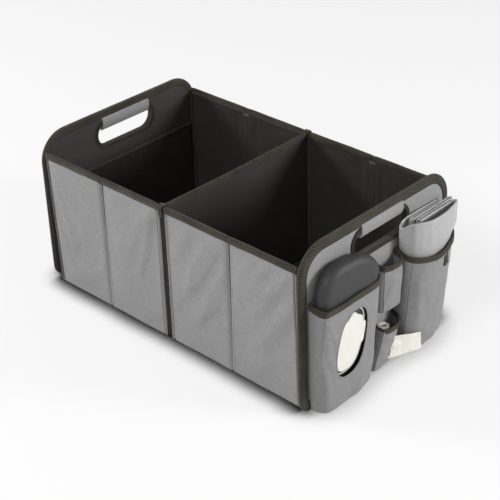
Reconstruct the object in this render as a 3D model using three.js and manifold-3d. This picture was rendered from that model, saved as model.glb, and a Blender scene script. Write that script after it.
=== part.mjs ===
// A fabric trunk organizer: an open box with stiffened folding walls, a centre divider, two end
// panels with carrying handles, and a row of pockets on the right end panel.
// Millimetres, +Z up. X is the long axis, with the pockets at +X. The front wall is at -Y.
// The origin is on the floor, under the middle of the divider.

import * as THREE from "three";
import { mergeGeometries, mergeVertices } from "three/addons/utils/BufferGeometryUtils.js";
import Module from "manifold-3d";

const wasm = await Module();
wasm.setup();

// Overall sizes.
const overallLength = 564;
const bodyWidth = 340;
const wallBelowEnd = 28;
const endPanelReach = 3;
const endPanelTop = 268;
const endTopRadius = 50;
const endBottomRadius = 22;

// Fabric, stiffeners and tape.
const seatGap = 0.3;
const wallCover = 3.2;
const wallLining = 0.8;
const endCover = 1.0;
const endBoard = 4.4;
const endLining = 0.8;
const tape = 0.8;
const rimTapeDrop = 10;
const edgeTapeDrop = 13;
const holeTapeDrop = 5;
const creaseGap = 0.6;

// Floor and divider.
const floorFabric = 0.6;
const baseBoard = 2.0;
const floorLap = 5;
const dividerCore = 3.2;

// Carrying handles.
const holeWidth = 144;
const holeHeight = 44;
const holeCentreY = 8;
const holeBelowTop = 42;
const gripWidth = 94;
const gripFabric = 0.6;
const gripDrop = 18;
const gripClearance = 0.5;

// Mesh pocket inside the left end panel.
const meshTop = 176;
const meshThickness = 0.6;
const meshHem = 10;
const meshHemThickness = 1.6;
const meshStrand = 3.2;
const meshBorder = 6;
const meshColumns = 14;
const meshRows = 7;

// Pockets on the right end panel, in a row between two margins. The tall pocket takes what is left of
// the row's length.
const rowNearMargin = 17;
const rowFarMargin = 12.8;
const pocketFabric = 1.2;
const pocketTapeDrop = 9;
const pocketSpacing = 0.6;
const pocketBottom = 4;
const pocketCorner = 7;
const cutPast = 5;
const wipesPocket = { width: 144, bottom: pocketBottom, top: 179, depth: 35, foot: 39, power: 6 };
const smallPocket = { width: 47.6, bottom: 96, top: 179, depth: 23, foot: 20, power: 4 };
const bagPocket = { width: 47.6, bottom: pocketBottom, top: 72, depth: 27, foot: 25, power: 4 };
const tallPocket = { bottom: pocketBottom, top: 176, depth: 50, foot: 40, power: 3.2 };
const windowWidth = 66;
const windowHeight = 102;
const windowCentreZ = 104;
const windowShift = -20;

// Things kept in the pockets.
const caseClearance = 0.9;
const caseSideRoom = 7;
const caseThickness = 27.6;
const caseTop = 232;
const caseTopShare = 0.46;
const caseFootRadius = 26;
const caseRound = 11;
const lidWidth = 56;
const lidHeight = 86;
const lidThickness = 2.4;
const lidRadius = 26;
const padSideRoom = 13;
const padTop = 228;
const padTopRise = 8;
const padLayer = 5.2;
const padLayerGap = 0.6;
const padLayers = 5;
const rollRadius = 9.2;
const rollCore = 5;
const rollClearance = 1.8;
const rollHeight = 44;
const sheetLength = 54;
const sheetThickness = 0.5;
const sheetHeight = 38;
const tagWidth = 12;
const tagHeight = 15;
const tagThickness = 1.0;
const tagPlace = 28;

// Planes and widths that follow from the sizes above.
const endPanelWidth = bodyWidth + 2 * endPanelReach;
const wallTop = endPanelTop - wallBelowEnd;
const holeCentreZ = endPanelTop - holeBelowTop;
const endOuter = overallLength / 2;
const endCoverOuter = endOuter - tape - seatGap;
const endCoverInner = endCoverOuter - endCover;
const endBoardOuter = endCoverInner - seatGap;
const endBoardInner = endBoardOuter - endBoard;
const endLiningOuter = endBoardInner - seatGap;
const endLiningInner = endLiningOuter - endLining;
const endInner = endLiningInner - seatGap - tape;
const gripInner = endInner - seatGap - gripFabric;
const gripOuter = endOuter + seatGap + gripFabric;
const meshFar = endLiningInner - seatGap;
const foldFar = Math.min(gripInner, meshFar - meshHemThickness) - seatGap;
const wallOuter = bodyWidth / 2;
const coverOuter = wallOuter - tape - seatGap;
const coverInner = coverOuter - wallCover;
const liningOuter = coverInner - seatGap;
const liningInner = liningOuter - wallLining;
const wallInner = liningInner - seatGap - tape;
const dividerFoot = floorFabric + seatGap;
const boardTop = dividerFoot + baseBoard;
const panelFoot = boardTop + seatGap;
const dividerTapeHalf = dividerCore / 2 + seatGap + tape;
const boardHinge = dividerTapeHalf + seatGap;
const foldNear = boardHinge + baseBoard + seatGap;
const crease = (foldNear + foldFar) / 2;
const pocketBack = endOuter + seatGap;
const tapeStep = seatGap + tape;

const grey = new THREE.MeshStandardMaterial({ color: 0x8e8f8e, roughness: 0.9, metalness: 0 });
const black = new THREE.MeshStandardMaterial({ color: 0x26231f, roughness: 0.85, metalness: 0 });
const taupe = new THREE.MeshStandardMaterial({ color: 0x4c443a, roughness: 0.85, metalness: 0 });
const stiffener = new THREE.MeshStandardMaterial({ color: 0x6b6257, roughness: 0.9, metalness: 0 });
const meshFabric = new THREE.MeshStandardMaterial({ color: 0x2b2825, roughness: 0.9, metalness: 0 });
const casePlastic = new THREE.MeshStandardMaterial({ color: 0x4a4b4b, roughness: 0.55, metalness: 0 });
const cream = new THREE.MeshStandardMaterial({ color: 0xe6e3d8, roughness: 0.5, metalness: 0 });
const padFabric = new THREE.MeshStandardMaterial({ color: 0x9a9b9a, roughness: 0.8, metalness: 0 });

const model = new THREE.Group();
model.name = "trunk_organizer";

function add(name, material, geometry) {
  const mesh = new THREE.Mesh(geometry, material);
  mesh.name = name;
  geometry.computeVertexNormals();
  model.add(mesh);
  return mesh;
}

// Booleans on closed meshes.
function toSolid(geometry) {
  const bare = geometry.clone();
  bare.deleteAttribute("normal");
  bare.deleteAttribute("uv");
  const merged = mergeVertices(bare, 1e-4);
  return new wasm.Manifold(
    new wasm.Mesh({
      numProp: 3,
      vertProperties: Float32Array.from(merged.attributes.position.array),
      triVerts: Uint32Array.from(merged.index.array),
    }),
  );
}

function toGeometry(solid) {
  const mesh = solid.getMesh();
  const geometry = new THREE.BufferGeometry();
  geometry.setAttribute("position", new THREE.BufferAttribute(Float32Array.from(mesh.vertProperties), 3));
  geometry.setIndex(new THREE.BufferAttribute(Uint32Array.from(mesh.triVerts), 1));
  return geometry;
}

function cut(base, ...tools) {
  let solid = toSolid(base);
  for (const tool of tools) solid = solid.subtract(toSolid(tool));
  return toGeometry(solid);
}

// A box between two corners. The limits may come in either order.
function block(x0, x1, y0, y1, z0, z1) {
  const geometry = new THREE.BoxGeometry(Math.abs(x1 - x0), Math.abs(y1 - y0), Math.abs(z1 - z0));
  return geometry.translate((x0 + x1) / 2, (y0 + y1) / 2, (z0 + z1) / 2);
}

const X = new THREE.Vector3(1, 0, 0);
const Y = new THREE.Vector3(0, 1, 0);
const Z = new THREE.Vector3(0, 0, 1);
const shapeYZ = new THREE.Matrix4().makeBasis(Y, Z, X);
const shapeZX = new THREE.Matrix4().makeBasis(Z, X, Y);

function extrude(shape, depth, segments = 8) {
  return new THREE.ExtrudeGeometry(shape, { depth, bevelEnabled: false, curveSegments: segments, steps: 1 });
}

// A shape drawn in (y, z), extruded along X between two planes.
function alongX(shape, x0, x1, segments = 8) {
  const low = Math.min(x0, x1);
  return extrude(shape, Math.abs(x1 - x0), segments).applyMatrix4(shapeYZ).translate(low, 0, 0);
}

// A shape drawn in (z, x), extruded along Y between two planes.
function alongY(shape, y0, y1, segments = 4) {
  const low = Math.min(y0, y1);
  return extrude(shape, Math.abs(y1 - y0), segments).applyMatrix4(shapeZX).translate(0, low, 0);
}

function polygon(points) {
  return new THREE.Shape(points.map(([a, b]) => new THREE.Vector2(a, b)));
}

// The end panel's outline in (y, z), grown by an offset.
function endOutline(offset) {
  const half = endPanelWidth / 2 + offset;
  const foot = panelFoot - offset;
  const head = endPanelTop + offset;
  const top = endTopRadius + offset;
  const bottom = endBottomRadius + offset;
  const shape = new THREE.Shape();
  shape.absarc(half - bottom, foot + bottom, bottom, -Math.PI / 2, 0);
  shape.absarc(half - top, head - top, top, 0, Math.PI / 2);
  shape.absarc(-half + top, head - top, top, Math.PI / 2, Math.PI);
  shape.absarc(-half + bottom, foot + bottom, bottom, Math.PI, Math.PI * 1.5);
  return shape;
}

// The handle hole in (y, z): a slot with round ends, grown by an offset.
function holeOutline(offset) {
  const radius = holeHeight / 2 + offset;
  const reach = (holeWidth - holeHeight) / 2;
  const shape = new THREE.Shape();
  shape.absarc(holeCentreY + reach, holeCentreZ, radius, -Math.PI / 2, Math.PI / 2);
  shape.absarc(holeCentreY - reach, holeCentreZ, radius, Math.PI / 2, Math.PI * 1.5);
  return shape;
}

// Tape folded over an edge: a U in (across, up), with its crown at the top.
function tapeProfile(inside, outside, top, drop) {
  const bottom = top - drop;
  return [
    [inside, bottom],
    [inside + tape, bottom],
    [inside + tape, top - tape],
    [outside - tape, top - tape],
    [outside - tape, bottom],
    [outside, bottom],
    [outside, top],
    [inside, top],
  ];
}

// Side walls. Each half of a wall is two stiff panels, one next to the divider and one next to the
// end panel, with a crease between them.
function wallPanel(name, side, hand, near, far) {
  const coverTop = wallTop - tape - seatGap;
  add(`${name}_cover`, grey, block(hand * near, hand * far, side * coverInner, side * coverOuter, panelFoot, coverTop));
  add(`${name}_lining`, black, block(hand * near, hand * far, side * liningInner, side * liningOuter, panelFoot, coverTop));
  const profile = tapeProfile(wallInner, wallOuter, wallTop, rimTapeDrop).map(([y, z]) => [side * y, z]);
  add(`${name}_binding`, taupe, alongX(polygon(profile), hand * near, hand * far));
}

const wallEnd = endInner - seatGap;
for (const [hand, handName] of [[-1, "left"], [1, "right"]]) {
  for (const [side, sideName] of [[-1, "front"], [1, "rear"]]) {
    wallPanel(`${sideName}_${handName}_near`, side, hand, foldNear, crease - creaseGap / 2);
    wallPanel(`${sideName}_${handName}_far`, side, hand, crease + creaseGap / 2, wallEnd);
  }
}

// End panels, from the outside in: cover, board, lining. Tape binds the edge and the hole.
function endPanel(name, hand) {
  const layer = (outer, inner) => {
    const plate = endOutline(-tapeStep);
    plate.holes.push(holeOutline(0));
    return alongX(plate, hand * outer, hand * inner);
  };
  add(`${name}_end_cover`, grey, layer(endCoverOuter, endCoverInner));
  add(`${name}_end_board`, stiffener, layer(endBoardOuter, endBoardInner));
  add(`${name}_end_lining`, black, layer(endLiningOuter, endLiningInner));

  const through = [hand * (endInner - cutPast), hand * (endOuter + cutPast)];
  const within = [hand * (endInner + tape), hand * (endOuter - tape)];
  add(`${name}_end_binding`, taupe, cut(
    alongX(endOutline(0), hand * endInner, hand * endOuter),
    alongX(endOutline(-edgeTapeDrop), ...through),
    alongX(endOutline(-tape), ...within),
  ));

  const slot = holeOutline(holeTapeDrop + 1);
  slot.holes.push(holeOutline(-seatGap));
  add(`${name}_handle_binding`, taupe, cut(
    alongX(holeOutline(holeTapeDrop), hand * endInner, hand * endOuter),
    alongX(holeOutline(-tapeStep), ...through),
    alongX(slot, ...within),
  ));

  const barFoot = holeCentreZ + holeHeight / 2 - tapeStep - gripClearance;
  const gripFoot = holeCentreZ + holeHeight / 2 - gripDrop;
  const gripTop = holeCentreZ + holeHeight / 2 + holeTapeDrop;
  const round = 3;
  const grip = new THREE.Shape();
  grip.moveTo(gripTop, gripInner);
  grip.absarc(gripFoot + round, gripInner + round, round, Math.PI * 1.5, Math.PI, true);
  grip.absarc(gripFoot + round, gripOuter - round, round, Math.PI, Math.PI / 2, true);
  grip.lineTo(gripTop, gripOuter);
  grip.lineTo(gripTop, gripOuter - gripFabric);
  grip.lineTo(barFoot, gripOuter - gripFabric);
  grip.lineTo(barFoot, gripInner + gripFabric);
  grip.lineTo(gripTop, gripInner + gripFabric);
  const sleeve = alongY(grip, holeCentreY - gripWidth / 2, holeCentreY + gripWidth / 2);
  if (hand < 0) sleeve.rotateZ(Math.PI).translate(0, 2 * holeCentreY, 0);
  add(`${name}_handle_grip`, grey, sleeve);
}

endPanel("left", -1);
endPanel("right", 1);

// Divider, with a strip at each end that closes the walls between their inner corners.
const dividerEnd = wallInner - seatGap;
add("divider_core", black, block(
  -dividerCore / 2, dividerCore / 2, -dividerEnd, dividerEnd, dividerFoot, wallTop - tape - seatGap,
));
const dividerTape = tapeProfile(-dividerTapeHalf, dividerTapeHalf, wallTop, rimTapeDrop);
add("divider_binding", taupe, alongY(polygon(dividerTape.map(([x, z]) => [z, x])), -dividerEnd, dividerEnd));
const stripHalf = foldNear - seatGap;
add("front_centre_strip", taupe, block(-stripHalf, stripHalf, -wallOuter, -wallInner, dividerFoot, wallTop));
add("rear_centre_strip", taupe, block(-stripHalf, stripHalf, wallInner, wallOuter, dividerFoot, wallTop));

// Floor fabric with a raised hem under the side walls, and a loose stiff board over each half. The
// seam between the two halves lies beside the divider, so fabric covers the middle.
function floorHalf(name, hand) {
  const hemInner = wallInner - seatGap / 2;
  const section = polygon([
    [-wallOuter, 0],
    [wallOuter, 0],
    [wallOuter, boardTop],
    [hemInner, boardTop],
    [hemInner, floorFabric],
    [-hemInner, floorFabric],
    [-hemInner, boardTop],
    [-wallOuter, boardTop],
  ]);
  const seam = hand < 0 ? floorLap : floorLap + seatGap;
  add(`${name}_floor`, black, cut(
    alongX(section, seam, hand * wallEnd),
    block(-foldNear, foldNear, -bodyWidth, bodyWidth, floorFabric, panelFoot),
  ));
  const boardEnd = foldFar - seatGap;
  const boardStart = boardHinge + seatGap;
  const boardSide = hemInner - seatGap;
  add(`${name}_base_board`, black, block(
    hand * boardStart, hand * boardEnd, -boardSide, boardSide, dividerFoot, boardTop,
  ));
}

floorHalf("left", -1);
floorHalf("right", 1);

// Mesh pocket on the left end panel: a net with a hem along its mouth. Its sides and bottom follow
// the inner edge of the panel's tape.
const meshInset = edgeTapeDrop + seatGap;
const meshHalf = endPanelWidth / 2 - meshInset;
const meshFoot = panelFoot + meshInset;
const netTop = meshTop - meshHem - seatGap;
const cellWide = (2 * (meshHalf - meshBorder) + meshStrand) / meshColumns;
const cellHigh = (netTop - meshFoot - 2 * meshBorder + meshStrand) / meshRows;
const netGaps = [];
for (let column = 0; column < meshColumns; column++) {
  for (let row = 0; row < meshRows; row++) {
    const y = -meshHalf + meshBorder + column * cellWide;
    const z = meshFoot + meshBorder + row * cellHigh;
    netGaps.push(block(-endOuter, -endOuter / 2, y, y + cellWide - meshStrand, z, z + cellHigh - meshStrand));
  }
}
const meshNear = meshFar - meshThickness;
add("mesh_pocket_net", meshFabric, cut(
  alongX(endOutline(-meshInset), -meshFar, -meshNear),
  block(-endOuter, -endOuter / 2, -endPanelWidth, endPanelWidth, netTop, endPanelTop),
  mergeGeometries(netGaps),
));
add("mesh_pocket_hem", taupe, block(
  -meshFar, -(meshFar - meshHemThickness), -meshHalf, meshHalf, meshTop - meshHem, meshTop,
));

// A closed body through a stack of outlines with equal point counts.
function loft(sections) {
  const count = sections[0].points.length;
  const positions = [];
  const triangles = [];
  for (const { z, points } of sections) for (const [x, y] of points) positions.push(x, y, z);
  for (let level = 0; level < sections.length - 1; level++) {
    for (let i = 0; i < count; i++) {
      const a = level * count + i;
      const b = level * count + ((i + 1) % count);
      triangles.push(a, b, b + count, a, b + count, a + count);
    }
  }
  const last = (sections.length - 1) * count;
  const contour = (points) => points.map(([x, y]) => new THREE.Vector2(x, y));
  for (const [a, b, c] of THREE.ShapeUtils.triangulateShape(contour(sections[0].points), [])) {
    triangles.push(a, c, b);
  }
  for (const [a, b, c] of THREE.ShapeUtils.triangulateShape(contour(sections.at(-1).points), [])) {
    triangles.push(last + a, last + b, last + c);
  }
  const geometry = new THREE.BufferGeometry();
  geometry.setAttribute("position", new THREE.Float32BufferAttribute(positions, 3));
  geometry.setIndex(triangles);
  return geometry;
}

// Half a superellipse in plan, bulging out of the end panel from y = centre - half to centre + half.
// The inset shrinks it on all sides, and runBack carries its ends back past the panel's face.
const arcSteps = 16;
function pocketPlan(centre, half, depth, power, inset, runBack) {
  const points = [];
  if (runBack > 0) points.push([pocketBack - runBack, centre - half + inset]);
  for (let i = 0; i <= arcSteps; i++) {
    const turn = (Math.PI * i) / arcSteps;
    const across = Math.sign(Math.cos(turn)) * Math.abs(Math.cos(turn)) ** (2 / power);
    const out = i === 0 || i === arcSteps ? 0 : Math.sin(turn) ** (2 / power);
    points.push([pocketBack + out * (depth - inset), centre - across * (half - inset)]);
  }
  if (runBack > 0) points.push([pocketBack - runBack, centre + half - inset]);
  return points;
}

// How far out of the panel the pocket's outer face stands at a height.
function pocketDepth(pocket, z) {
  const straight = pocket.top - 2 * pocketTapeDrop;
  const share = Math.min(1, Math.max(0, (z - pocket.bottom - pocketCorner) / (straight - pocket.bottom - pocketCorner)));
  return pocket.foot + (pocket.depth - pocket.foot) * share;
}

function pocketFace(pocket, y, z) {
  const centre = pocket.low + pocket.width / 2;
  const share = Math.min(1, Math.abs(y - centre) / (pocket.width / 2));
  return pocketBack + pocketDepth(pocket, z) * (1 - share ** pocket.power) ** (1 / pocket.power);
}

function pocketBody(pocket, inset, runBack, foot, head) {
  const centre = pocket.low + pocket.width / 2;
  const heights = [foot, pocket.bottom + pocketCorner, pocket.top - 2 * pocketTapeDrop, head];
  return loft(heights.map((z, level) => {
    const corner = level === 0 ? pocketCorner / 2 : 0;
    const half = pocket.width / 2 - corner;
    return { z, points: pocketPlan(centre, half, pocketDepth(pocket, z) - corner, pocket.power, inset, runBack) };
  }));
}

function pocketBand(pocket, inset, runBack, foot, head) {
  const centre = pocket.low + pocket.width / 2;
  const plan = pocketPlan(centre, pocket.width / 2, pocket.depth, pocket.power, inset, runBack);
  return loft([{ z: foot, points: plan }, { z: head, points: plan }]);
}

function pocketShell(pocket, ...openings) {
  return cut(
    pocketBody(pocket, 0, 0, pocket.bottom, pocket.top - tapeStep),
    pocketBody(pocket, pocketFabric, cutPast, pocket.bottom + pocketFabric, pocket.top),
    ...openings,
  );
}

// Tape over the pocket's mouth. The fabric's edge stands in its slot.
function pocketTape(pocket) {
  const foot = pocket.top - pocketTapeDrop;
  const slot = cut(
    pocketBand(pocket, -seatGap, cutPast, foot - cutPast, pocket.top - tape),
    pocketBand(pocket, pocketFabric + seatGap, 2 * cutPast, foot - 2 * cutPast, pocket.top),
  );
  return cut(
    pocketBand(pocket, -tapeStep, 0, foot, pocket.top),
    pocketBand(pocket, pocketFabric + tapeStep, cutPast, foot - cutPast, pocket.top + cutPast),
    slot,
  );
}

const neighbourGap = 2 * tapeStep + pocketSpacing;
wipesPocket.low = -endPanelWidth / 2 + rowNearMargin;
smallPocket.low = wipesPocket.low + wipesPocket.width + neighbourGap;
bagPocket.low = smallPocket.low;
tallPocket.low = smallPocket.low + smallPocket.width + neighbourGap;
tallPocket.width = endPanelWidth / 2 - rowFarMargin - tallPocket.low;

// Oval window in the front of the wipes pocket, and the lid of the case behind it.
const wipesCentre = wipesPocket.low + wipesPocket.width / 2;
const windowCentreY = wipesCentre + windowShift;
const windowShape = new THREE.Shape();
windowShape.absellipse(windowCentreY, windowCentreZ, windowWidth / 2, windowHeight / 2, 0, Math.PI * 2);
const caseBack = pocketBack + caseClearance;
const caseWidth = wipesPocket.width - 2 * caseSideRoom;
const caseTopRadius = caseTopShare * caseWidth;
const caseFront = caseBack + caseThickness;
add("wipes_pocket", grey, pocketShell(
  wipesPocket,
  alongX(windowShape, caseFront, pocketBack + wipesPocket.depth + cutPast, 12),
));
add("wipes_pocket_binding", taupe, pocketTape(wipesPocket));
add("small_pocket", grey, pocketShell(smallPocket));
add("small_pocket_binding", taupe, pocketTape(smallPocket));
add("tall_pocket", grey, pocketShell(tallPocket));
add("tall_pocket_binding", taupe, pocketTape(tallPocket));

function roundedRectangle(centreY, low, high, width, topRadius, footRadius) {
  const half = width / 2;
  const shape = new THREE.Shape();
  shape.absarc(centreY + half - footRadius, low + footRadius, footRadius, -Math.PI / 2, 0);
  shape.absarc(centreY + half - topRadius, high - topRadius, topRadius, 0, Math.PI / 2);
  shape.absarc(centreY - half + topRadius, high - topRadius, topRadius, Math.PI / 2, Math.PI);
  shape.absarc(centreY - half + footRadius, low + footRadius, footRadius, Math.PI, Math.PI * 1.5);
  return shape;
}

// Wipes case: a slab with rounded edges.
const caseFoot = wipesPocket.bottom + pocketFabric + seatGap;
const caseShape = roundedRectangle(
  wipesCentre, caseFoot + caseRound, caseTop - caseRound, caseWidth - 2 * caseRound,
  caseTopRadius - caseRound, caseFootRadius - caseRound,
);
const caseGeometry = new THREE.ExtrudeGeometry(caseShape, {
  depth: caseThickness - 2 * caseRound,
  bevelEnabled: true,
  bevelSize: caseRound,
  bevelThickness: caseRound,
  bevelSegments: 3,
  curveSegments: 6,
  steps: 1,
});
add("wipes_case", casePlastic, caseGeometry.applyMatrix4(shapeYZ).translate(caseBack + caseRound, 0, 0));
const lidShape = roundedRectangle(
  windowCentreY, windowCentreZ - lidHeight / 2, windowCentreZ + lidHeight / 2, lidWidth, lidRadius, lidRadius,
);
add("wipes_lid", cream, alongX(lidShape, caseFront + seatGap, caseFront + seatGap + lidThickness, 6));

// Changing pad: one strip folded to and fro into layers, with its top edge rising to the right.
const padLow = tallPocket.low + padSideRoom;
const padWidth = tallPocket.width - 2 * padSideRoom;
const padPitch = padLayer + padLayerGap;
const padBack = pocketBack + caseClearance;
const padFoot = tallPocket.bottom + pocketFabric + seatGap;
const bend = padPitch / 2;
const padPath = [];
for (let layer = 0; layer < padLayers; layer++) {
  const forward = layer % 2 === 0;
  const x = padBack + padLayer / 2 + layer * padPitch;
  const ends = [padLow + bend + padLayer / 2, padLow + padWidth - bend - padLayer / 2];
  if (!forward) ends.reverse();
  const way = forward ? 1 : -1;
  padPath.push({ x, y: ends[0], nx: way, ny: 0 });
  padPath.push({ x, y: ends[1], nx: way, ny: 0 });
  if (layer === padLayers - 1) continue;
  for (let step = 1; step < 5; step++) {
    const turn = (Math.PI * step) / 5;
    padPath.push({
      x: x + bend - bend * Math.cos(turn),
      y: ends[1] + way * bend * Math.sin(turn),
      nx: way * Math.cos(turn),
      ny: -Math.sin(turn),
    });
  }
}
const padSide = (sign) => padPath.map(({ x, y, nx, ny }) => [x + sign * nx * padLayer / 2, y + sign * ny * padLayer / 2]);
const padGeometry = extrude(polygon([...padSide(1), ...padSide(-1).reverse()]), padTop - padFoot);
padGeometry.translate(0, 0, padFoot);
const padPoints = padGeometry.attributes.position;
for (let i = 0; i < padPoints.count; i++) {
  if (padPoints.getZ(i) < (padFoot + padTop) / 2) continue;
  const share = (padPoints.getY(i) - padLow) / padWidth - 0.5;
  padPoints.setZ(i, padTop + padTopRise * share);
}
add("changing_pad", padFabric, padGeometry);

// Roll of bags in the lower pocket. Its first bag leaves through a slit in the pocket's front.
const rollY = bagPocket.low + pocketCorner / 2 + pocketFabric + rollClearance + rollRadius;
const rollX = pocketBack + seatGap + rollRadius;
const rollFoot = bagPocket.bottom + pocketFabric + seatGap;
const rollProfile = [
  [rollCore, 0],
  [rollRadius, 0],
  [rollRadius, rollHeight],
  [rollCore, rollHeight],
  [rollCore, 0],
].map(([r, z]) => new THREE.Vector2(r, z));
const rollGeometry = new THREE.LatheGeometry(rollProfile, 20).rotateX(Math.PI / 2);
add("bag_roll", cream, toGeometry(toSolid(rollGeometry)).translate(rollX, rollY, rollFoot));

const sheetInner = rollX + rollRadius + seatGap;
const sheetFoot = bagPocket.bottom + pocketCorner + seatGap;
const sheetCourse = [
  [0, 0],
  [0.4, 0.08],
  [4.5, 0.19],
  [10, 0.36],
  [16, 0.64],
  [24, 1],
].map(([x, share]) => [sheetInner + x, rollY + share * sheetLength]);
const sheetOutline = [
  ...sheetCourse.map(([x, y]) => [x + sheetThickness, y]),
  ...sheetCourse.toReversed(),
];
add("bag_sheet", cream, extrude(polygon(sheetOutline), sheetHeight).translate(0, 0, sheetFoot));
const slitClearance = 0.8;
add("bag_pocket", grey, pocketShell(
  bagPocket,
  block(
    sheetInner, pocketBack + bagPocket.depth + cutPast,
    rollY + 0.16 * sheetLength - slitClearance, rollY + 0.3 * sheetLength + slitClearance,
    sheetFoot - slitClearance, sheetFoot + sheetHeight + slitClearance,
  ),
));
add("bag_pocket_binding", taupe, pocketTape(bagPocket));

// Blank fabric tag under the binding of the tall pocket, laid along the pocket's curved front.
const tagTop = tallPocket.top - pocketTapeDrop - seatGap;
const tagY = tallPocket.low + tallPocket.width - tagPlace;
const tagZ = tagTop - tagHeight;
const tagStart = new THREE.Vector2(pocketFace(tallPocket, tagY, tagTop), tagY);
const tagEnd = new THREE.Vector2(pocketFace(tallPocket, tagY + tagWidth, tagTop), tagY + tagWidth);
const tagWay = tagEnd.clone().sub(tagStart).normalize();
const tagGeometry = new THREE.BoxGeometry(tagThickness, tagWidth, tagHeight);
tagGeometry.rotateZ(Math.atan2(-tagWay.x, tagWay.y));
const tagMiddle = tagStart.clone().add(tagEnd).multiplyScalar(0.5);
const tagOut = seatGap * 2 + tagThickness / 2;
tagGeometry.translate(tagMiddle.x + tagWay.y * tagOut, tagMiddle.y - tagWay.x * tagOut, tagZ + tagHeight / 2);
add("tag", black, tagGeometry);

export default model;
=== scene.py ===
import math
from collections import Counter

import bpy
import bmesh
import numpy as np
from mathutils import Matrix, Vector


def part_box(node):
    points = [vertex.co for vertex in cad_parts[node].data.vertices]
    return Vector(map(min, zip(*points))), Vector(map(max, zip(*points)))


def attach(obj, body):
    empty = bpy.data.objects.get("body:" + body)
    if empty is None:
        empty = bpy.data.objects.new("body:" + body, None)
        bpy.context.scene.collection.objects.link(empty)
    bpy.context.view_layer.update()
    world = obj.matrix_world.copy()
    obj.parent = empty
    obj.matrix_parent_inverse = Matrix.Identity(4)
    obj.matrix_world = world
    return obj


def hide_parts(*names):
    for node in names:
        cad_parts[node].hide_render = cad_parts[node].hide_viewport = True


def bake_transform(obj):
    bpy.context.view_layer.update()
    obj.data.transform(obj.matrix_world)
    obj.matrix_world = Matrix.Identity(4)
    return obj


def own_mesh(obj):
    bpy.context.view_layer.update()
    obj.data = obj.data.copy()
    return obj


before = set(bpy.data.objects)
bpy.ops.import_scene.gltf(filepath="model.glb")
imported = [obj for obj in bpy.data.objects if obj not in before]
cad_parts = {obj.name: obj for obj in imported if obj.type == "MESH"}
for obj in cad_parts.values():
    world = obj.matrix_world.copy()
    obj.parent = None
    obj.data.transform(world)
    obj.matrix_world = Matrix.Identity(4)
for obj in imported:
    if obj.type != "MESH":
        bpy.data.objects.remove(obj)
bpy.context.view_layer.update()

# Sizes in millimetres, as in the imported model. Meshes are made in metres.
MM = 0.001
WALL_TOP = 240.0
WALL_OUTSIDE = 169.0
BOARD_OUTSIDE = 167.0
WALL_MIDDLE = 166.75
LINING_AT = 164.7
WALL_END = 272.7
WALL_START = 5.3
CREASE = 138.55
CREASE_GAP = 0.6
WALL_FOOT = 0.75
DIVIDER_END = 163.2
BOARD_HALF = 160.0
END_FOOT = 3.2
END_INSIDE = 274.0
END_MIDDLE = 277.5
END_OUTSIDE = 281.0
END_HALF = 173.0
END_TOP = 268.0
END_TOP_RADIUS = 50.0
END_FOOT_RADIUS = 22.0
EDGE_TAPE = 13.6
HOLE_Y = 5.5
HOLE_Z = 226.0
HOLE_RADIUS = 22.0
HOLE_REACH = 40.5
GRIP_Y = 8.0
GRIP_CLEAR = 286.7
NET_TOP = 170.0
POCKET_BACK = 280.0

TURN = 2 * math.pi
X_AXIS = (1, 0, 0)
Z_AXIS = (0, 0, 1)
WHITE = (1, 1, 1, 1)
HANDS = {-1: "left", 1: "right"}
SIDES = {-1: "front", 1: "rear"}


# Materials

class Nodes:
    """A node tree, filled one call at a time."""

    def __init__(self, tree):
        self.tree = tree
        tree.nodes.clear()

    def put(self, socket, value):
        """Links an input to another node's output, or sets it."""
        if isinstance(value, bpy.types.NodeSocket):
            self.tree.links.new(value, socket)
        elif value is not None:
            socket.default_value = value

    def node(self, kind, *first, **named):
        """A node with its first inputs given in order and others by name."""
        made = self.tree.nodes.new("ShaderNode" + kind)
        for socket, value in zip(made.inputs, first):
            self.put(socket, value)
        for name, value in named.items():
            self.put(made.inputs[name.replace("_", " ")], value)
        return made

    def math(self, operation, a, b=None, clamp=False):
        node = self.node("Math", a, b)
        node.operation = operation
        node.use_clamp = clamp
        return node.outputs[0]

    def add(self, a, b, clamp=False):
        return self.math("ADD", a, b, clamp)

    def less(self, a, b):
        return self.math("SUBTRACT", a, b)

    def times(self, a, b, clamp=False):
        return self.math("MULTIPLY", a, b, clamp)

    def wave(self, value, turn):
        return self.math("SINE", self.times(value, turn))

    def coords(self, kind, scale=(1, 1, 1)):
        texture = self.node("TexCoord")
        return self.node("Mapping", texture.outputs[kind], Scale=scale).outputs[0]

    def split(self, vector):
        return self.node("SeparateXYZ", vector).outputs

    def noise(self, vector, scale, detail=3.0, rough=0.55):
        return self.node("TexNoise", Vector=vector, Scale=scale, Detail=detail, Roughness=rough).outputs[0]

    def ramp(self, value, stops):
        node = self.node("ValToRGB", value)
        band = node.color_ramp
        while len(band.elements) < len(stops):
            band.elements.new(0.5)
        for element, (at, colour) in zip(band.elements, stops):
            element.position = at
            element.color = (*colour, 1.0)
        return node.outputs[0]

    def mix(self, share, a, b):
        node = self.node("Mix", share)
        node.data_type = "RGBA"
        for socket, value in zip(node.inputs[6:8], (a, b)):
            self.put(socket, value if isinstance(value, bpy.types.NodeSocket) else (*value, 1.0))
        return node.outputs[2]

    def range(self, value, low, high, to_low, to_high):
        return self.node("MapRange", value, low, high, to_low, to_high).outputs[0]

    def bump(self, height, depth):
        return self.node("Bump", Strength=1.0, Distance=depth, Height=height).outputs[0]


class Net(Nodes):
    """The nodes of a new material."""

    def __init__(self, name):
        self.material = bpy.data.materials.new(name)
        self.material.use_nodes = True
        super().__init__(self.material.node_tree)

    def finish(self, **sockets):
        shader = self.node("BsdfPrincipled", **sockets)
        self.node("OutputMaterial", shader.outputs[0])
        return self.material


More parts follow.
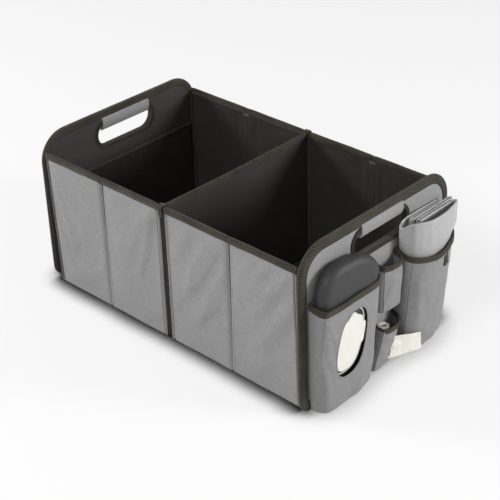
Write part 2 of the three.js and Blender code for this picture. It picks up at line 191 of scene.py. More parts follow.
def cloth(name, dark, light, pitch, roughness, sheen, contrast=0.16, specular=0.3, depth=0.00016):
    """Woven cloth. Yarns of uneven tone run both ways, with a weave bump and slow changes of tone."""
    net = Net(name)
    u, v, _ = net.split(net.coords("UV"))
    weave = net.times(net.wave(u, math.pi / pitch), net.wave(v, math.pi / pitch))
    warp = net.noise(net.coords("UV", (1.0, 0.10, 1.0)), 900.0, 2.0)
    weft = net.noise(net.coords("UV", (0.10, 1.0, 1.0)), 900.0, 2.0)
    fibre = net.noise(net.coords("Object"), 620.0, 4.0, 0.7)
    yarn = net.times(net.add(warp, weft), 0.5)
    tone = net.add(net.times(yarn, 0.62), net.times(fibre, 0.38))
    tone = net.add(tone, net.times(weave, 0.03))
    tone = net.range(tone, 0.5 - contrast, 0.5 + contrast, 0.0, 1.0)
    slow = net.noise(net.coords("Object"), 11.0, 2.0)
    shade = net.add(net.times(tone, 0.82), net.times(slow, 0.18), True)
    rough = net.range(fibre, 0.3, 0.7, roughness - 0.06, min(1.0, roughness + 0.06))
    height = net.add(net.times(weave, 0.5), net.add(net.times(fibre, 0.9), net.times(yarn, 0.8)))
    return net.finish(
        Base_Color=net.ramp(shade, [(0.0, dark), (1.0, light)]), Roughness=rough,
        Normal=net.bump(height, depth), Sheen_Weight=sheen, Sheen_Roughness=0.5,
        Specular_IOR_Level=specular,
    )


def tape_material(name, dark, light, bright, pitch, width):
    """Twill tape. Ribs meet in a chevron along its middle, and a line of stitches runs by each edge."""
    net = Net(name)
    u, v, _ = net.split(net.coords("UV"))
    middle = net.math("ABSOLUTE", net.less(v, width / 2))
    wander = net.times(net.noise(net.coords("UV"), 60.0, 2.0), 0.0012)
    phase = net.add(net.add(u, net.times(middle, 0.9)), wander)
    rib = net.add(net.times(net.wave(phase, TURN / pitch), 0.5), 0.5)
    yarn = net.wave(net.less(u, net.times(middle, 1.1)), TURN / (0.42 * pitch))
    fuzz = net.noise(net.coords("Object"), 700.0, 4.0, 0.7)
    slow = net.noise(net.coords("Object"), 28.0, 2.0)
    shade = net.add(net.times(rib, 0.74), net.times(fuzz, 0.26))
    shade = net.add(shade, net.times(yarn, 0.06))
    shade = net.add(shade, net.times(net.less(slow, 0.5), 0.35), True)
    # The ribs' tone runs from dark in the troughs to bright on the crests: the weave's own pattern together
    # with painted light and shade on the ribs.
    colour = net.ramp(shade, [(0.25, dark), (0.68, light), (1.0, bright)])
    to_line = net.math("ABSOLUTE", net.less(width / 2 - 0.0016, middle))
    line = net.math("SUBTRACT", 1.0, net.times(to_line, 1 / 0.00035), True)
    dash = net.math("GREATER_THAN", net.math("FRACT", net.times(u, 1 / 0.0032)), 0.25)
    stitch = net.times(line, dash)
    height = net.add(net.add(net.times(rib, 0.8), net.times(fuzz, 0.4)), net.times(stitch, 0.8))
    return net.finish(
        Base_Color=net.mix(net.times(stitch, 0.6), colour, bright),
        Roughness=net.range(fuzz, 0.3, 0.7, 0.74, 0.9), Normal=net.bump(height, 0.0008),
        Sheen_Weight=0.12, Sheen_Roughness=0.5, Specular_IOR_Level=0.25,
    )


def plastic(name, dark, light, roughness, depth, specular):
    """Moulded plastic with a fine spark texture and faint handling marks."""
    net = Net(name)
    spark = net.noise(net.coords("Object"), 1500.0, 3.0, 0.6)
    slow = net.noise(net.coords("Object"), 22.0)
    marks = net.noise(net.coords("Object", (1.0, 1.0, 0.15)), 260.0)
    shade = net.add(net.times(slow, 0.6), net.times(spark, 0.4))
    return net.finish(
        Base_Color=net.ramp(shade, [(0.3, dark), (0.7, light)]),
        Roughness=net.range(marks, 0.3, 0.7, roughness - 0.05, roughness + 0.07),
        Normal=net.bump(spark, depth), Specular_IOR_Level=specular,
    )


def film_material():
    """Thin cream bag film with faint ribs along the roll and a satin shine."""
    net = Net("bag_film")
    u, _, _ = net.split(net.coords("UV"))
    rib = net.wave(u, TURN / 0.0021)
    crinkle = net.noise(net.coords("Object"), 160.0)
    shade = net.add(net.times(rib, 0.10), crinkle)
    colour = net.ramp(shade, [(0.25, (0.70, 0.675, 0.61)), (0.7, (0.86, 0.835, 0.765))])
    relief = net.bump(net.add(net.times(rib, 0.5), crinkle), 0.0003)
    return net.finish(Base_Color=colour, Roughness=0.45, Normal=relief, Specular_IOR_Level=0.4)


def net_material():
    """Knitted net with dark open cells between slightly lighter strands."""
    net = Net("black_net")
    u, v, _ = net.split(net.coords("UV"))
    cell = TURN / 0.0038
    strand = net.range(net.math("MAXIMUM", net.wave(u, cell), net.wave(v, cell)), 0.2, 0.75, 0.0, 1.0)
    fuzz = net.noise(net.coords("Object"), 900.0)
    share = net.times(strand, net.add(fuzz, 0.3), True)
    colour = net.mix(share, (0.004, 0.0035, 0.003), (0.048, 0.042, 0.036))
    relief = net.bump(strand, 0.0005)
    return net.finish(Base_Color=colour, Roughness=0.8, Normal=relief, Specular_IOR_Level=0.2)


GREY = cloth(
    "grey_fabric", (0.170, 0.170, 0.170), (0.326, 0.326, 0.324), pitch=0.0007, roughness=0.86, sheen=0.10,
)
# The wall's grey cloth made darker for the pockets: painted shade on the pockets.
SHADED_POCKET_GREY = cloth(
    "pocket_fabric", (0.143, 0.143, 0.144), (0.292, 0.292, 0.293), pitch=0.0007, roughness=0.80, sheen=0.10,
)
PAD_GREY = cloth(
    "pad_fabric", (0.25, 0.25, 0.25), (0.43, 0.43, 0.43), pitch=0.0005, roughness=0.46, sheen=0.05,
    contrast=0.2, specular=0.5, depth=0.00006,
)
LINING = cloth(
    "black_lining", (0.011, 0.0094, 0.0080), (0.040, 0.034, 0.029), pitch=0.0006, roughness=0.50, sheen=0.05,
    contrast=0.2, specular=0.55, depth=0.00008,
)
# Near-black cloth for the centre strips: the strip's own dark colour together with painted shade of its deep
# valley.
STRIP = cloth(
    "strip_cloth", (0.016, 0.0135, 0.011), (0.048, 0.041, 0.033), pitch=0.0007, roughness=0.8, sheen=0.05,
    contrast=0.2,
)
THREAD = cloth(
    "grey_thread", (0.17, 0.17, 0.168), (0.36, 0.36, 0.355), pitch=0.0004, roughness=0.75, sheen=0.05,
    contrast=0.2,
)
BOARD = cloth(
    "stiff_board", (0.10, 0.085, 0.065), (0.17, 0.145, 0.115), pitch=0.0012, roughness=0.9, sheen=0.0,
    contrast=0.2, specular=0.2,
)
TAG = cloth(
    "tag_fabric", (0.010, 0.010, 0.010), (0.030, 0.030, 0.030), pitch=0.0004, roughness=0.7, sheen=0.05,
    contrast=0.2,
)
TAPE = tape_material(
    "taupe_tape", (0.0060, 0.0048, 0.0031), (0.029, 0.0237, 0.0160), (0.135, 0.112, 0.081),
    pitch=0.0039, width=0.0290,
)
PIPING = tape_material(
    "dark_piping", (0.005, 0.0042, 0.0035), (0.018, 0.0155, 0.012), (0.07, 0.060, 0.048),
    pitch=0.0022, width=0.020,
)
CASE = plastic(
    "grey_case", (0.027, 0.027, 0.0275), (0.038, 0.038, 0.039), roughness=0.56, depth=0.00003, specular=0.35,
)
CREAM = plastic(
    "cream_lid", (0.68, 0.67, 0.62), (0.74, 0.73, 0.68), roughness=0.42, depth=0.00002, specular=0.45,
)
FILM = film_material()
NET = net_material()


# Shapes

def xyz(x, y, z):
    """Points from three coordinates, each a number or an array."""
    return np.stack(np.broadcast_arrays(x, y, z), -1)


def grid(rows, columns):
    return np.meshgrid(rows, columns, indexing="ij")


def steps(low, high, fine, coarse, edge):
    """Positions from low to high, close together within edge of both ends."""
    near = np.arange(0, edge, fine)
    span = high - low
    middle = np.linspace(edge, span - edge, max(2, int((span - 2 * edge) / coarse) + 1))
    return low + np.concatenate([near, middle, span - near[::-1]])


def rolling(x, y, period, seed):
    """Smooth noise from -1 to 1 with a period in millimetres."""
    size = 24
    table = np.random.default_rng(seed).uniform(-1, 1, (size, size))
    u, v = np.broadcast_arrays(np.asarray(x, float) / period + 100.0, np.asarray(y, float) / period + 100.0)
    i, j = np.floor(u).astype(int), np.floor(v).astype(int)
    fu, fv = ease(u - i), ease(v - j)
    i, j, next_i, next_j = i % size, j % size, (i + 1) % size, (j + 1) % size
    low = table[i, j] * (1 - fu) + table[next_i, j] * fu
    high = table[i, next_j] * (1 - fu) + table[next_i, next_j] * fu
    return low * (1 - fv) + high * fv


def wobble(run, period, seed):
    return rolling(run, np.zeros_like(run), period, seed)


def creased(x, y, strokes):
    """Height of soft folds. Each stroke is (x0, y0, x1, y1, half width, height)."""
    total = np.zeros(np.broadcast(x, y).shape)
    for x0, y0, x1, y1, wide, high in strokes:
        dx, dy = x1 - x0, y1 - y0
        long = math.hypot(dx, dy)
        share = np.clip(((x - x0) * dx + (y - y0) * dy) / long ** 2, -0.2, 1.2)
        off = ((x - x0) * dy - (y - y0) * dx) / long
        fade = np.clip(np.sin(np.pi * (share + 0.2) / 1.4), 0, 1) ** 0.7
        total += high * fade * bump_up(off, 0, wide * (0.7 + 0.6 * np.clip(share, 0, 1)))
    return total


def bump_up(x, at, wide):
    """A soft bump of height 1."""
    return np.exp(-(((x - at) / wide) ** 2))


def ease(x):
    """From 0 to 1 with soft ends."""
    x = np.clip(x, 0, 1)
    return x * x * (3 - 2 * x)


def above_zero(x, soft):
    """x where it is above 0 and 0 where it is below, with a soft bend between them."""
    return soft * np.log1p(np.exp(x / soft))


def soften(line, passes):
    """Rounds the corners of a line a little with each pass."""
    for _ in range(passes):
        line[1:-1] = (line[:-2] + 2 * line[1:-1] + line[2:]) / 4
    return line


def pick(values, run, at):
    """Rows of values between the known places of a run."""
    return np.stack([np.interp(at, run, values[:, k]) for k in range(values.shape[1])], -1)


def soft_line(points, count, passes):
    """An evenly spaced line through a few points, with rounded corners."""
    points = np.asarray(points, float)
    run = lengths(points[:, :2])
    return soften(pick(points, run, np.linspace(0, run[-1], count)), passes)


def lengths(path):
    return np.concatenate([[0], np.cumsum(np.linalg.norm(np.diff(path, axis=0), axis=1))])


def unit(vectors):
    return vectors / np.maximum(np.linalg.norm(vectors, axis=-1), 1e-9)[..., None]


def around(path):
    """The direction of a closed line at each of its points."""
    return unit(np.roll(path, -1, 0) - np.roll(path, 1, 0))


def oval(half_a, half_b, count, power_a=1.0, power_b=1.0):
    """A closed oval in (a, b). Powers below 1 make it squarer."""
    turns = np.linspace(0, TURN, count, endpoint=False)
    c, s = np.cos(turns), np.sin(turns)
    a = half_a * np.sign(c) * np.abs(c) ** power_a
    b = half_b * np.sign(s) * np.abs(s) ** power_b
    return np.stack([a, b], -1)


def tape_profile(half, drop, swell=0.25):
    """A tape folded over an edge, in (across, up) from its crown. Its outer side comes first."""
    thick = 0.8
    outer = [(half - 0.15, -drop), (half + 0.1, -drop + 0.6)]
    outer += [(half + swell, -drop * 0.62), (half + swell * 0.6, -drop * 0.42)]
    top = min(half, drop * 0.42)
    arc = [(half * math.cos(a), -top + top * math.sin(a)) for a in np.linspace(0.12, math.pi - 0.12, 9)]
    crown = outer + arc + [(-a, b) for a, b in reversed(outer)]
    share = (half - thick) / half
    inner = [(a * share, b - thick * max(0.0, 1 + b / drop)) for a, b in reversed(crown)]
    return np.array(crown + inner)


def uneven(profile, wide, high):
    """A profile for each point of a path, scaled across and up."""
    return profile * np.stack(np.broadcast_arrays(wide, high), -1)[:, None, :]


# Mesh helpers

def piece(name, points, faces, material, uv, body=None, stands_for=(), thick=0.0, smooth=True):
    """A mesh object from points in millimetres. uv is in metres, one pair for each point."""
    mesh = bpy.data.meshes.new(name)
    mesh.from_pydata((np.asarray(points, float) * MM).tolist(), [], [tuple(int(i) for i in f) for f in faces])
    layer = mesh.uv_layers.new(name="UVMap")
    index = np.zeros(len(mesh.loops), np.int32)
    mesh.loops.foreach_get("vertex_index", index)
    layer.data.foreach_set("uv", np.asarray(uv, np.float32)[index].ravel())
    mesh.materials.append(material)
    mesh.validate()
    shape = bmesh.new()
    shape.from_mesh(mesh)
    bmesh.ops.recalc_face_normals(shape, faces=shape.faces)
    shape.to_mesh(mesh)
    shape.free()
    if smooth:
        mesh.polygons.foreach_set("use_smooth", [True] * len(mesh.polygons))
    made = bpy.data.objects.new(name, mesh)
    bpy.context.scene.collection.objects.link(made)
    if thick:
        skin = made.modifiers.new("thickness", "SOLIDIFY")
        skin.thickness = thick * MM
        skin.offset = -1.0
        skin.use_even_offset = False
    if body:
        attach(made, body)
    if stands_for:
        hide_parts(stands_for)
    look = material.name.split(".")[0]
    return made


def grid_faces(rows, columns, closed_columns=False):
    ids = np.arange(rows * columns).reshape(rows, columns)
    if closed_columns:
        ids = np.concatenate([ids, ids[:, :1]], 1)
    corners = (ids[:-1, :-1], ids[1:, :-1], ids[1:, 1:], ids[:-1, 1:])
    return [tuple(f) for f in np.stack(corners, -1).reshape(-1, 4).tolist()]


def tube_faces(rings, sides, caps=True):
    """Faces between rings of points, with a cap at each end."""
    faces = grid_faces(rings, sides, closed_columns=True)
    if caps:
        faces.append(tuple(range(sides)))
        faces.append(tuple((rings - 1) * sides + i for i in reversed(range(sides))))
    return faces


def other_side(faces, count):
    """The same faces turned over, on points that come count later."""
    return [tuple(count + i for i in reversed(f)) for f in faces]


def sheet(name, front, back, uv, material, body=None, stands_for=(), smooth=True):
    """A closed sheet between two grids, with the same uv, in millimetres, on its front and back."""
    rows, columns = front.shape[:2]
    count = rows * columns
    faces = grid_faces(rows, columns)
    faces += other_side(faces, count)
    ids = np.arange(count).reshape(rows, columns)
    rim = [*ids[:, 0], *ids[-1, 1:], *ids[-2::-1, -1], *ids[0, -2:0:-1]]
    faces += [(b, a, count + a, count + b) for a, b in zip(rim, rim[1:] + rim[:1])]
    points = np.concatenate([front.reshape(-1, 3), back.reshape(-1, 3)])
    pairs = np.stack(np.broadcast_arrays(*uv), -1).reshape(-1, 2) * MM
    pairs = np.concatenate([pairs, pairs])
    return piece(name, points, faces, material, pairs, body, stands_for, smooth=smooth)


def sweep(name, path, side, up, profile, material, body, stands_for=(), closed=False, start=0.0, hang=None):
    """A piece with a closed profile carried along a path, then moved by hang."""
    path, profile = np.asarray(path, float), np.asarray(profile, float)
    side, up = np.broadcast_to(side, path.shape), np.broadcast_to(up, path.shape)
    if profile.ndim == 2:
        profile = np.broadcast_to(profile, (len(path), *profile.shape))
    points = path[:, None, :] + profile[:, :, :1] * side[:, None, :] + profile[:, :, 1:] * up[:, None, :]
    run = lengths(path) + start
    lap = lengths(profile[len(profile) // 2])
    if closed:
        points = np.concatenate([points, points[:1]])
        run = np.append(run, run[-1] + np.linalg.norm(path[0] - path[-1]))
    faces = tube_faces(len(points), profile.shape[1], caps=not closed)
    uv = np.stack(np.broadcast_arrays(run[:, None] * MM, lap[None, :] * MM), -1).reshape(-1, 2)
    points = points.reshape(-1, 3)
    if hang:
        points = hang(points)
    return piece(name, points, faces, material, uv, body, stands_for)


def stitches(name, path, normal, body):
    """A row of thread stitches along a line on a surface."""
    length, pitch, radius, sides = 2.7, 3.6, 0.26, 6
    rings = [(-0.5, 0.25), (-0.36, 0.8), (0.0, 1.0), (0.36, 0.8), (0.5, 0.25)]
    path, normal = np.asarray(path, float), np.broadcast_to(np.asarray(normal, float), np.shape(path))
    run = lengths(path)
    centres = np.arange(pitch, run[-1] - pitch / 2, pitch)
    lift = unit(pick(normal, run, centres))
    along = unit(pick(path, run, centres + 0.5) - pick(path, run, centres - 0.5))
    across = unit(np.cross(along, lift))
    middle = pick(path, run, centres)
    points = []
    for at, size in rings:
        for a, b in oval(radius * size, radius * size, sides):
            points.append(middle + along * (at * length) + across * a + lift * (b + 0.12))
    points = np.stack(points, 1)
    count = points.shape[1]
    ring_faces = tube_faces(len(rings), sides, caps=False)
    faces = [tuple(k * count + i for i in f) for k in range(len(centres)) for f in ring_faces]
    flat = points.reshape(-1, 3)
    uv = np.stack([flat[:, 0] + flat[:, 1], flat[:, 2]], -1) * MM
    return piece(name, flat, faces, THREAD, uv, body)


# How the end panels stand

def stand(points):
    """An end panel reaches the floor."""
    q = np.array(points, float)
    q[..., 2] = np.maximum(q[..., 2] - 2.5 * np.clip(1 - q[..., 2] / 60.0, 0, 1), 0.3)
    return q


def settle(points):
    """The near foot of the right end panel kicks out, away from the box and towards the front."""
    q = np.array(points, float)
    low = np.clip(1 - q[..., 2] / 195.0, 0, 1) ** 1.25
    near = ease((-112.0 - q[..., 1]) / 50.0)
    q[..., 0] += 13.0 * low * near
    q[..., 1] -= 11.0 * low * near
    return stand(q)


# Side walls

# Soft folds of the outer cloth, as strokes in (x, z).
WALL_FOLDS = {
    "left_far": [
        (-262, 236, -185, 120, 16, 1.8), (-262, 236, -225, 90, 10, 1.2), (-258, 232, -160, 175, 12, 1.2),
        (-150, 60, -240, 20, 20, 1.4), (-205, 110, -160, 40, 18, -1.3), (-268, 120, -225, 30, 12, 1.0),
    ],
    "left_near": [
        (-20, 232, -95, 120, 15, 1.8), (-22, 228, -60, 80, 10, 1.2), (-128, 236, -75, 160, 13, 1.2),
        (-120, 70, -40, 20, 20, 1.4), (-15, 150, -60, 60, 12, -1.3),
    ],
    "right_near": [
        (126, 236, 60, 120, 12, 1.7), (110, 236, 35, 90, 12, 1.5), (130, 170, 70, 60, 13, 1.5),
        (60, 225, 20, 150, 12, 1.1), (120, 90, 60, 15, 16, -1.4),
    ],
    "right_far": [
        (262, 232, 190, 130, 13, 1.6), (226, 238, 150, 126, 12, 1.4), (262, 172, 186, 56, 14, 1.6),
        (200, 236, 148, 166, 10, 1.0), (250, 90, 175, 15, 14, 1.2), (262, 120, 220, 60, 10, -1.1),
    ],
}
SEAM_BY_CREASE = 7.0
SEAM_BY_END = 5.6
FOLD_DEPTH = 1.3


class WallPanel:
    """One stiff panel of a side wall. Its x runs outwards from the divider on both halves."""

    def __init__(self, side, hand, name, near, far):
        self.side, self.hand = side, hand
        self.near, self.far = near, far
        self.is_far = name == "far"
        self.folds = WALL_FOLDS[f"{HANDS[hand]}_{name}"]
        self.key = f"{SIDES[side]}_{HANDS[hand]}_{name}"

    def to_crease(self, x):
        return x - self.near if self.is_far else self.far - x

    def to_other(self, x):
        return self.far - x if self.is_far else x - self.near

    def seed(self, start, by_hand, by_name, by_side):
        return start + by_hand * (self.hand > 0) + by_name * self.is_far + by_side * (self.side > 0)

    def outer(self, x, z):
        """How far the cover's outer face stands from the middle plane."""
        share_x, share_z = (x - self.near) / (self.far - self.near), z / WALL_TOP
        to_crease, to_other = self.to_crease(x), self.to_other(x)
        out = WALL_OUTSIDE + 0.9 * (1 - (2 * share_x - 1) ** 4) * (1 - (2 * share_z - 1) ** 6)
        # The cloth dips into the gap at the crease, with a seam beside it.
        out = out - (1.7 + 2.0 * share_z) * bump_up(to_crease, 0, 2.0 + 2.2 * share_z)
        out = out - 0.6 * bump_up(to_crease, SEAM_BY_CREASE, 0.9) + 0.4 * bump_up(to_crease, 4.4, 1.5)
        # Beside the divider or the end panel it has a turned hem and a seam.
        out = out - 2.6 * bump_up(to_other, 0, 1.4) + 0.8 * bump_up(to_other, 2.6, 1.5)
        out = out - 2.6 * bump_up(to_other, SEAM_BY_END, 1.1)
        along = self.hand * (x if self.side < 0 else self.near + self.far - x)
        seed = self.seed(11, 7, 3, 17)
        wave = creased(along, z, self.folds)
        wave = wave + 0.5 * rolling(x, z, 34, seed) + 0.22 * rolling(x, z, 13, seed + 1)
        calm = np.clip(np.minimum(to_crease, to_other) / 14.0, 0, 1)
        calm = calm * np.clip((WALL_TOP - 6 - z) / 26.0, 0.1, 1)
        # A fold is never so deep that the board behind the cloth shows.
        fold = (wave - 0.4) * calm * np.clip(z / 20, 0.35, 1) * 2.0
        fold = above_zero(fold + FOLD_DEPTH, 0.25) - FOLD_DEPTH
        out = out + fold - 0.7 * bump_up(z, 0, 2.5)
        # The folded panels face each other here, so near the crease the cloth stays flat.
        room = 170.0 + 0.031 * to_crease
        return out - above_zero(out - room, 0.3)

    def place(self, x, y, z):
        """Points of the cover, with its ends pulled to their places."""
        # The cloth pulls back at the foot of the left end and follows the right one.
        pull = 0.0
        if self.is_far and self.side < 0:
            reach = 8.5 if self.hand < 0 else -7.0
            pull = ease((x - (self.far - 60)) / 60) * reach * np.clip(1 - z / 225, 0, 1) ** 1.1
        # The two covers part a little towards the top of the crease.
        parting = 1.1 * np.clip(z / WALL_TOP, 0, 1) ** 1.5 * bump_up(self.to_crease(x), 0, 2.2)
        pull = pull + parting * (-1 if self.is_far else 1)
        return xyz(self.hand * (x - pull), self.side * y, z)

    def line(self, x, z, above=0.0):
        """A line up the cover's outer face at one x."""
        x = np.full_like(z, x)
        return self.place(x, self.outer(x, z) + above, z)

    def cover(self):
        heights = np.r_[WALL_FOOT, 2.0, np.linspace(4.0, WALL_TOP - 8, 76), WALL_TOP - 5, WALL_TOP - 2]
        X, Z = grid(steps(self.near, self.far, 0.75, 3.0, 10.0), heights)
        outer = self.outer(X, Z)
        inner = np.minimum(outer - 1.0, BOARD_OUTSIDE)
        front, back = self.place(X, outer, Z), self.place(X, inner, Z)
        sheet(f"{self.key}_skin", front, back, (X, Z), GREY, self.key, f"{self.key}_cover")

    def seams(self):
        """Stitches by both ends of the cover, and in the front corners a dark cord that paints the shade of
        the end seam's gap.
        """
        seams = {"crease": self.far - SEAM_BY_CREASE, "end": self.near + SEAM_BY_END}
        if self.is_far:
            seams = {"crease": self.near + SEAM_BY_CREASE, "end": self.far - SEAM_BY_END}
        for label, x in seams.items():
            line = self.line(x, np.linspace(3.0, WALL_TOP - 11, 60))
            stitches(f"{self.key}_{label}_stitches", line, (0, self.side, 0), self.key)
        if self.side < 0 and self.is_far:
            # A dark cord in the groove of the end seam: painted shade of the gap between the cover and its
            # hem.
            line = self.line(seams["end"] + 1.6, np.linspace(5.0, WALL_TOP - 10, 60), 0.1)
            sweep(f"{self.key}_seam_shade_cord", line, X_AXIS, (0, -1, 0), oval(0.65, 0.65, 8), PIPING, self.key)

    def lining(self):
        X, Z = grid(steps(self.near, self.far, 1.5, 4.0, 9.0), np.linspace(WALL_FOOT, WALL_TOP - 3, 60))
        seed = self.seed(41, 5, 2, 11)
        to_crease = self.to_crease(X)
        wave = 0.6 * rolling(X, Z * 0.35, 26, seed) + 0.3 * rolling(X, Z, 14, seed + 1)
        wave = wave + 0.9 * bump_up(to_crease, 12, 4.5) * (0.5 + 0.5 * rolling(0 * Z, Z, 60, seed + 2))
        wave = 1.9 * (wave - 0.8 * bump_up(to_crease, 22, 6)) * np.clip(to_crease / 7, 0, 1)
        inner = LINING_AT - 0.8 * wave * np.clip((WALL_TOP - 8 - Z) / 20, 0.1, 1)
        front, back = (xyz(self.hand * X, self.side * y, Z) for y in (inner, inner + 0.7))
        sheet(f"{self.key}_inside", front, back, (X, Z), LINING, self.key, f"{self.key}_lining")

    def rim(self):
        seed = self.seed(61, 5, 2, 11)
        x = np.linspace(self.near + 0.2, self.far - 0.2, 70)
        ends = np.minimum(x - self.near, self.far - x)
        dip = 0.7 * bump_up(ends, 0, 5.0) + 0.3 * wobble(x, 30, seed)
        path = xyz(self.hand * x, self.side * WALL_MIDDLE, WALL_TOP + 0.1 - dip)
        wide = 1 + 0.04 * wobble(x, 18, seed + 1) - 0.09 * bump_up(ends, 0, 14.0)
        profile = uneven(tape_profile(3.45, 10.0), wide, 1 + 0.05 * wobble(x, 22, seed + 2))
        name, stands_for = f"{self.key}_rim", f"{self.key}_binding"
        sweep(name, path, (0, self.side, 0), Z_AXIS, profile, TAPE, self.key, stands_for, start=self.near)


def crease_web(side, hand):
    """A strip of lining across the hinge inside the box."""
    half = 7.0
    X, Z = grid(np.linspace(CREASE - half, CREASE + half, 15), np.linspace(WALL_FOOT, WALL_TOP - 9, 30))
    bow = 0.45 * (1 - ((X - CREASE) / half) ** 2)
    front, back = (xyz(hand * X, side * (LINING_AT + off - bow), Z) for off in (-0.12, 0.25))
    key = f"{SIDES[side]}_{HANDS[hand]}"
    made = sheet(f"{key}_crease_web", front, back, (X, Z), LINING)
    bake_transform(made)


for hand in HANDS:
    for side in SIDES:
        for name, near, far in (
            ("near", WALL_START, CREASE - CREASE_GAP / 2), ("far", CREASE + CREASE_GAP / 2, WALL_END),
        ):
            panel = WallPanel(side, hand, name, near, far)
            panel.cover()
            if side < 0 or name == "far":
                panel.seams()
            panel.lining()
            panel.rim()
        crease_web(side, hand)


# Centre strips and divider

def centre_strip(side):
    """A hollow strip between the two halves of a wall. Its near-black cloth is partly the strip's own dark
    colour and partly painted shade of its deep valley.
    """
    half = 5.0
    X, Z = grid(np.linspace(-half + 0.15, half - 0.15, 25), np.linspace(0.9, WALL_TOP - 1.5, 60))
    out = 168.4 - 4.2 * (1 - (X / half) ** 2) + 2.4 * bump_up(X, 1.6, 1.0) + 0.4 * rolling(X * 2, Z, 30, 71)
    front, back = (xyz(X, side * y, Z) for y in (out, 163.4))
    name = f"{SIDES[side]}_centre_strip"
    sheet(f"{name}_cloth", front, back, (X, Z), STRIP, "divider", name)


def divider_sag(y):
    return 2.4 * (1 - (y / DIVIDER_END) ** 2) + 0.3 * wobble(y, 60, 81)


def divider():
    y = np.linspace(-DIVIDER_END, DIVIDER_END, 90)
    Y, share = grid(y, np.linspace(0, 1, 60))
    Z = 0.9 + share * (WALL_TOP - 2.9 - divider_sag(Y))
    wave = 0.5 * rolling(Y, Z, 46, 82) + 0.2 * rolling(Y, Z, 17, 83)
    middle = 0.5 * wave * np.clip((DIVIDER_END - np.abs(Y)) / 20, 0, 1)
    front, back = (xyz(middle + off, Y, Z) for off in (1.6, -1.6))
    sheet("divider_panel", front, back, (Y, Z), LINING, "divider", "divider_core")
    path = xyz(0.25 * wobble(y, 40, 84), y, WALL_TOP + 0.3 - divider_sag(y))
    profile = tape_profile(2.35, 10.0)
    sweep("divider_rim", path, X_AXIS, Z_AXIS, profile, TAPE, "divider", "divider_binding")


def divider_tack(side):
    """The end of the divider's tape, folded over the rim and tacked down outside."""
    course = np.array([
        (161.6, 239.6), (163.5, 240.8), (167, 241.2), (171.2, 239.2),
        (171.8, 234), (171.0, 226), (169.8, 222),
    ])
    count = 40
    line = soft_line(course * (side, 1), count, 3)
    path = xyz(0.0, line[:, 0], line[:, 1])
    up = np.cross(unit(np.gradient(path, axis=0)), X_AXIS)
    wide, high = 1 + 0.1 * np.sin(np.linspace(0, 9, count)), 1 + 0.2 * np.sin(np.linspace(0, 14, count))
    profile = uneven(oval(4.8, 1.2, 20, 0.5, 0.8), wide, high)
    sweep(f"{SIDES[side]}_divider_tack", path, X_AXIS, up, profile, TAPE, "divider")


for side in SIDES:
    centre_strip(side)
divider()
for side in SIDES:
    divider_tack(side)


# Floor

def floor_half(hand):
    """The floor cloth of one half."""
    S, Y = grid(np.linspace(0, 1, 50), np.linspace(-168.0, 168.0, 60))
    low = WALL_START if hand > 0 else -WALL_END + 10.0 * ease((-130 - Y) / 36)
    high = WALL_END if hand > 0 else 5.0
    X = low + (high - low) * S
    top, foot, name = xyz(X, Y, 0.55), xyz(X, Y, 0.0), f"{HANDS[hand]}_floor"
    made = sheet(f"{name}_cloth", top, foot, (X, Y), LINING, "divider", name, smooth=False)
    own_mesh(made)


def base_board(hand):
    """The loose stiff board of one half, wrapped in lining cloth."""
    name = f"{HANDS[hand]}_base_board"
    box = np.array(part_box(name)) / MM
    low, high = box[0][0], box[1][0]
    X, Y = grid(steps(low, high, 0.8, 6.0, 4.0), steps(-BOARD_HALF, BOARD_HALF, 0.8, 6.0, 4.0))
    edge = np.minimum(np.minimum(X - low, high - X), np.minimum(Y + BOARD_HALF, BOARD_HALF - Y))
    swell = 0.9 * (1 - np.clip(edge / 2.0, 0, 1)) ** 2
    top = xyz(X, Y, 2.2 - swell + 0.12 * rolling(X, Y, 40, 91 + hand))
    foot = xyz(X, Y, 1.15 + swell * 0.4)
    sheet(f"{name}_cover", top, foot, (X, Y), LINING, f"{HANDS[hand]}_base", name)


for hand in HANDS:
    floor_half(hand)
for hand in HANDS:
    base_board(hand)


# End panels

OUTLINE_STEP = 3.0


def rounded_outline(inset, bottom):
    """Closed outline in (y, z) with outward normals, from the middle of the foot and round by +y."""
    half, foot, head, top = END_HALF - inset, END_FOOT + inset, END_TOP - inset, END_TOP_RADIUS - inset
    points, normals = [], []

    def line(a, b, normal):
        count = max(2, int(math.dist(a, b) / OUTLINE_STEP))
        for i in range(count):
            points.append((a[0] + (b[0] - a[0]) * i / count, a[1] + (b[1] - a[1]) * i / count))
            normals.append(normal)

    def arc(cy, cz, radius, start):
        count = max(6, int(math.pi / 2 * radius / OUTLINE_STEP))
        for i in range(count):
            a = (start + i / count) * math.pi / 2
            points.append((cy + radius * math.cos(a), cz + radius * math.sin(a)))
            normals.append((math.cos(a), math.sin(a)))

    line((0, foot), (half - bottom, foot), (0, -1))
    arc(half - bottom, foot + bottom, bottom, -1)
    line((half, foot + bottom), (half, head - top), (1, 0))
    arc(half - top, head - top, top, 0)
    line((half - top, head), (-half + top, head), (0, 1))
    arc(-half + top, head - top, top, 1)
    line((-half, head - top), (-half, foot + bottom), (-1, 0))
    arc(-half + bottom, foot + bottom, bottom, 2)
    line((-half + bottom, foot), (0, foot), (0, -1))
    return np.array(points), np.array(normals, float)


def slot_outline():
    """Closed outline of the handle hole in (y, z) with normals that point away from the hole."""
    step = 2.0
    points, normals = [], []
    count, turns = int(2 * HOLE_REACH / step), int(math.pi * HOLE_RADIUS / step)
    for way in (1, -1):
        for i in range(count):
            y = HOLE_Y - way * (HOLE_REACH - 2 * HOLE_REACH * i / count)
            points.append((y, HOLE_Z - way * HOLE_RADIUS))
            normals.append((0, -way))
        for i in range(turns):
            a = -way * math.pi / 2 + math.pi * i / turns
            y = HOLE_Y + way * HOLE_REACH + HOLE_RADIUS * math.cos(a)
            points.append((y, HOLE_Z + HOLE_RADIUS * math.sin(a)))
            normals.append((math.cos(a), math.sin(a)))
    return np.array(points), np.array(normals, float)


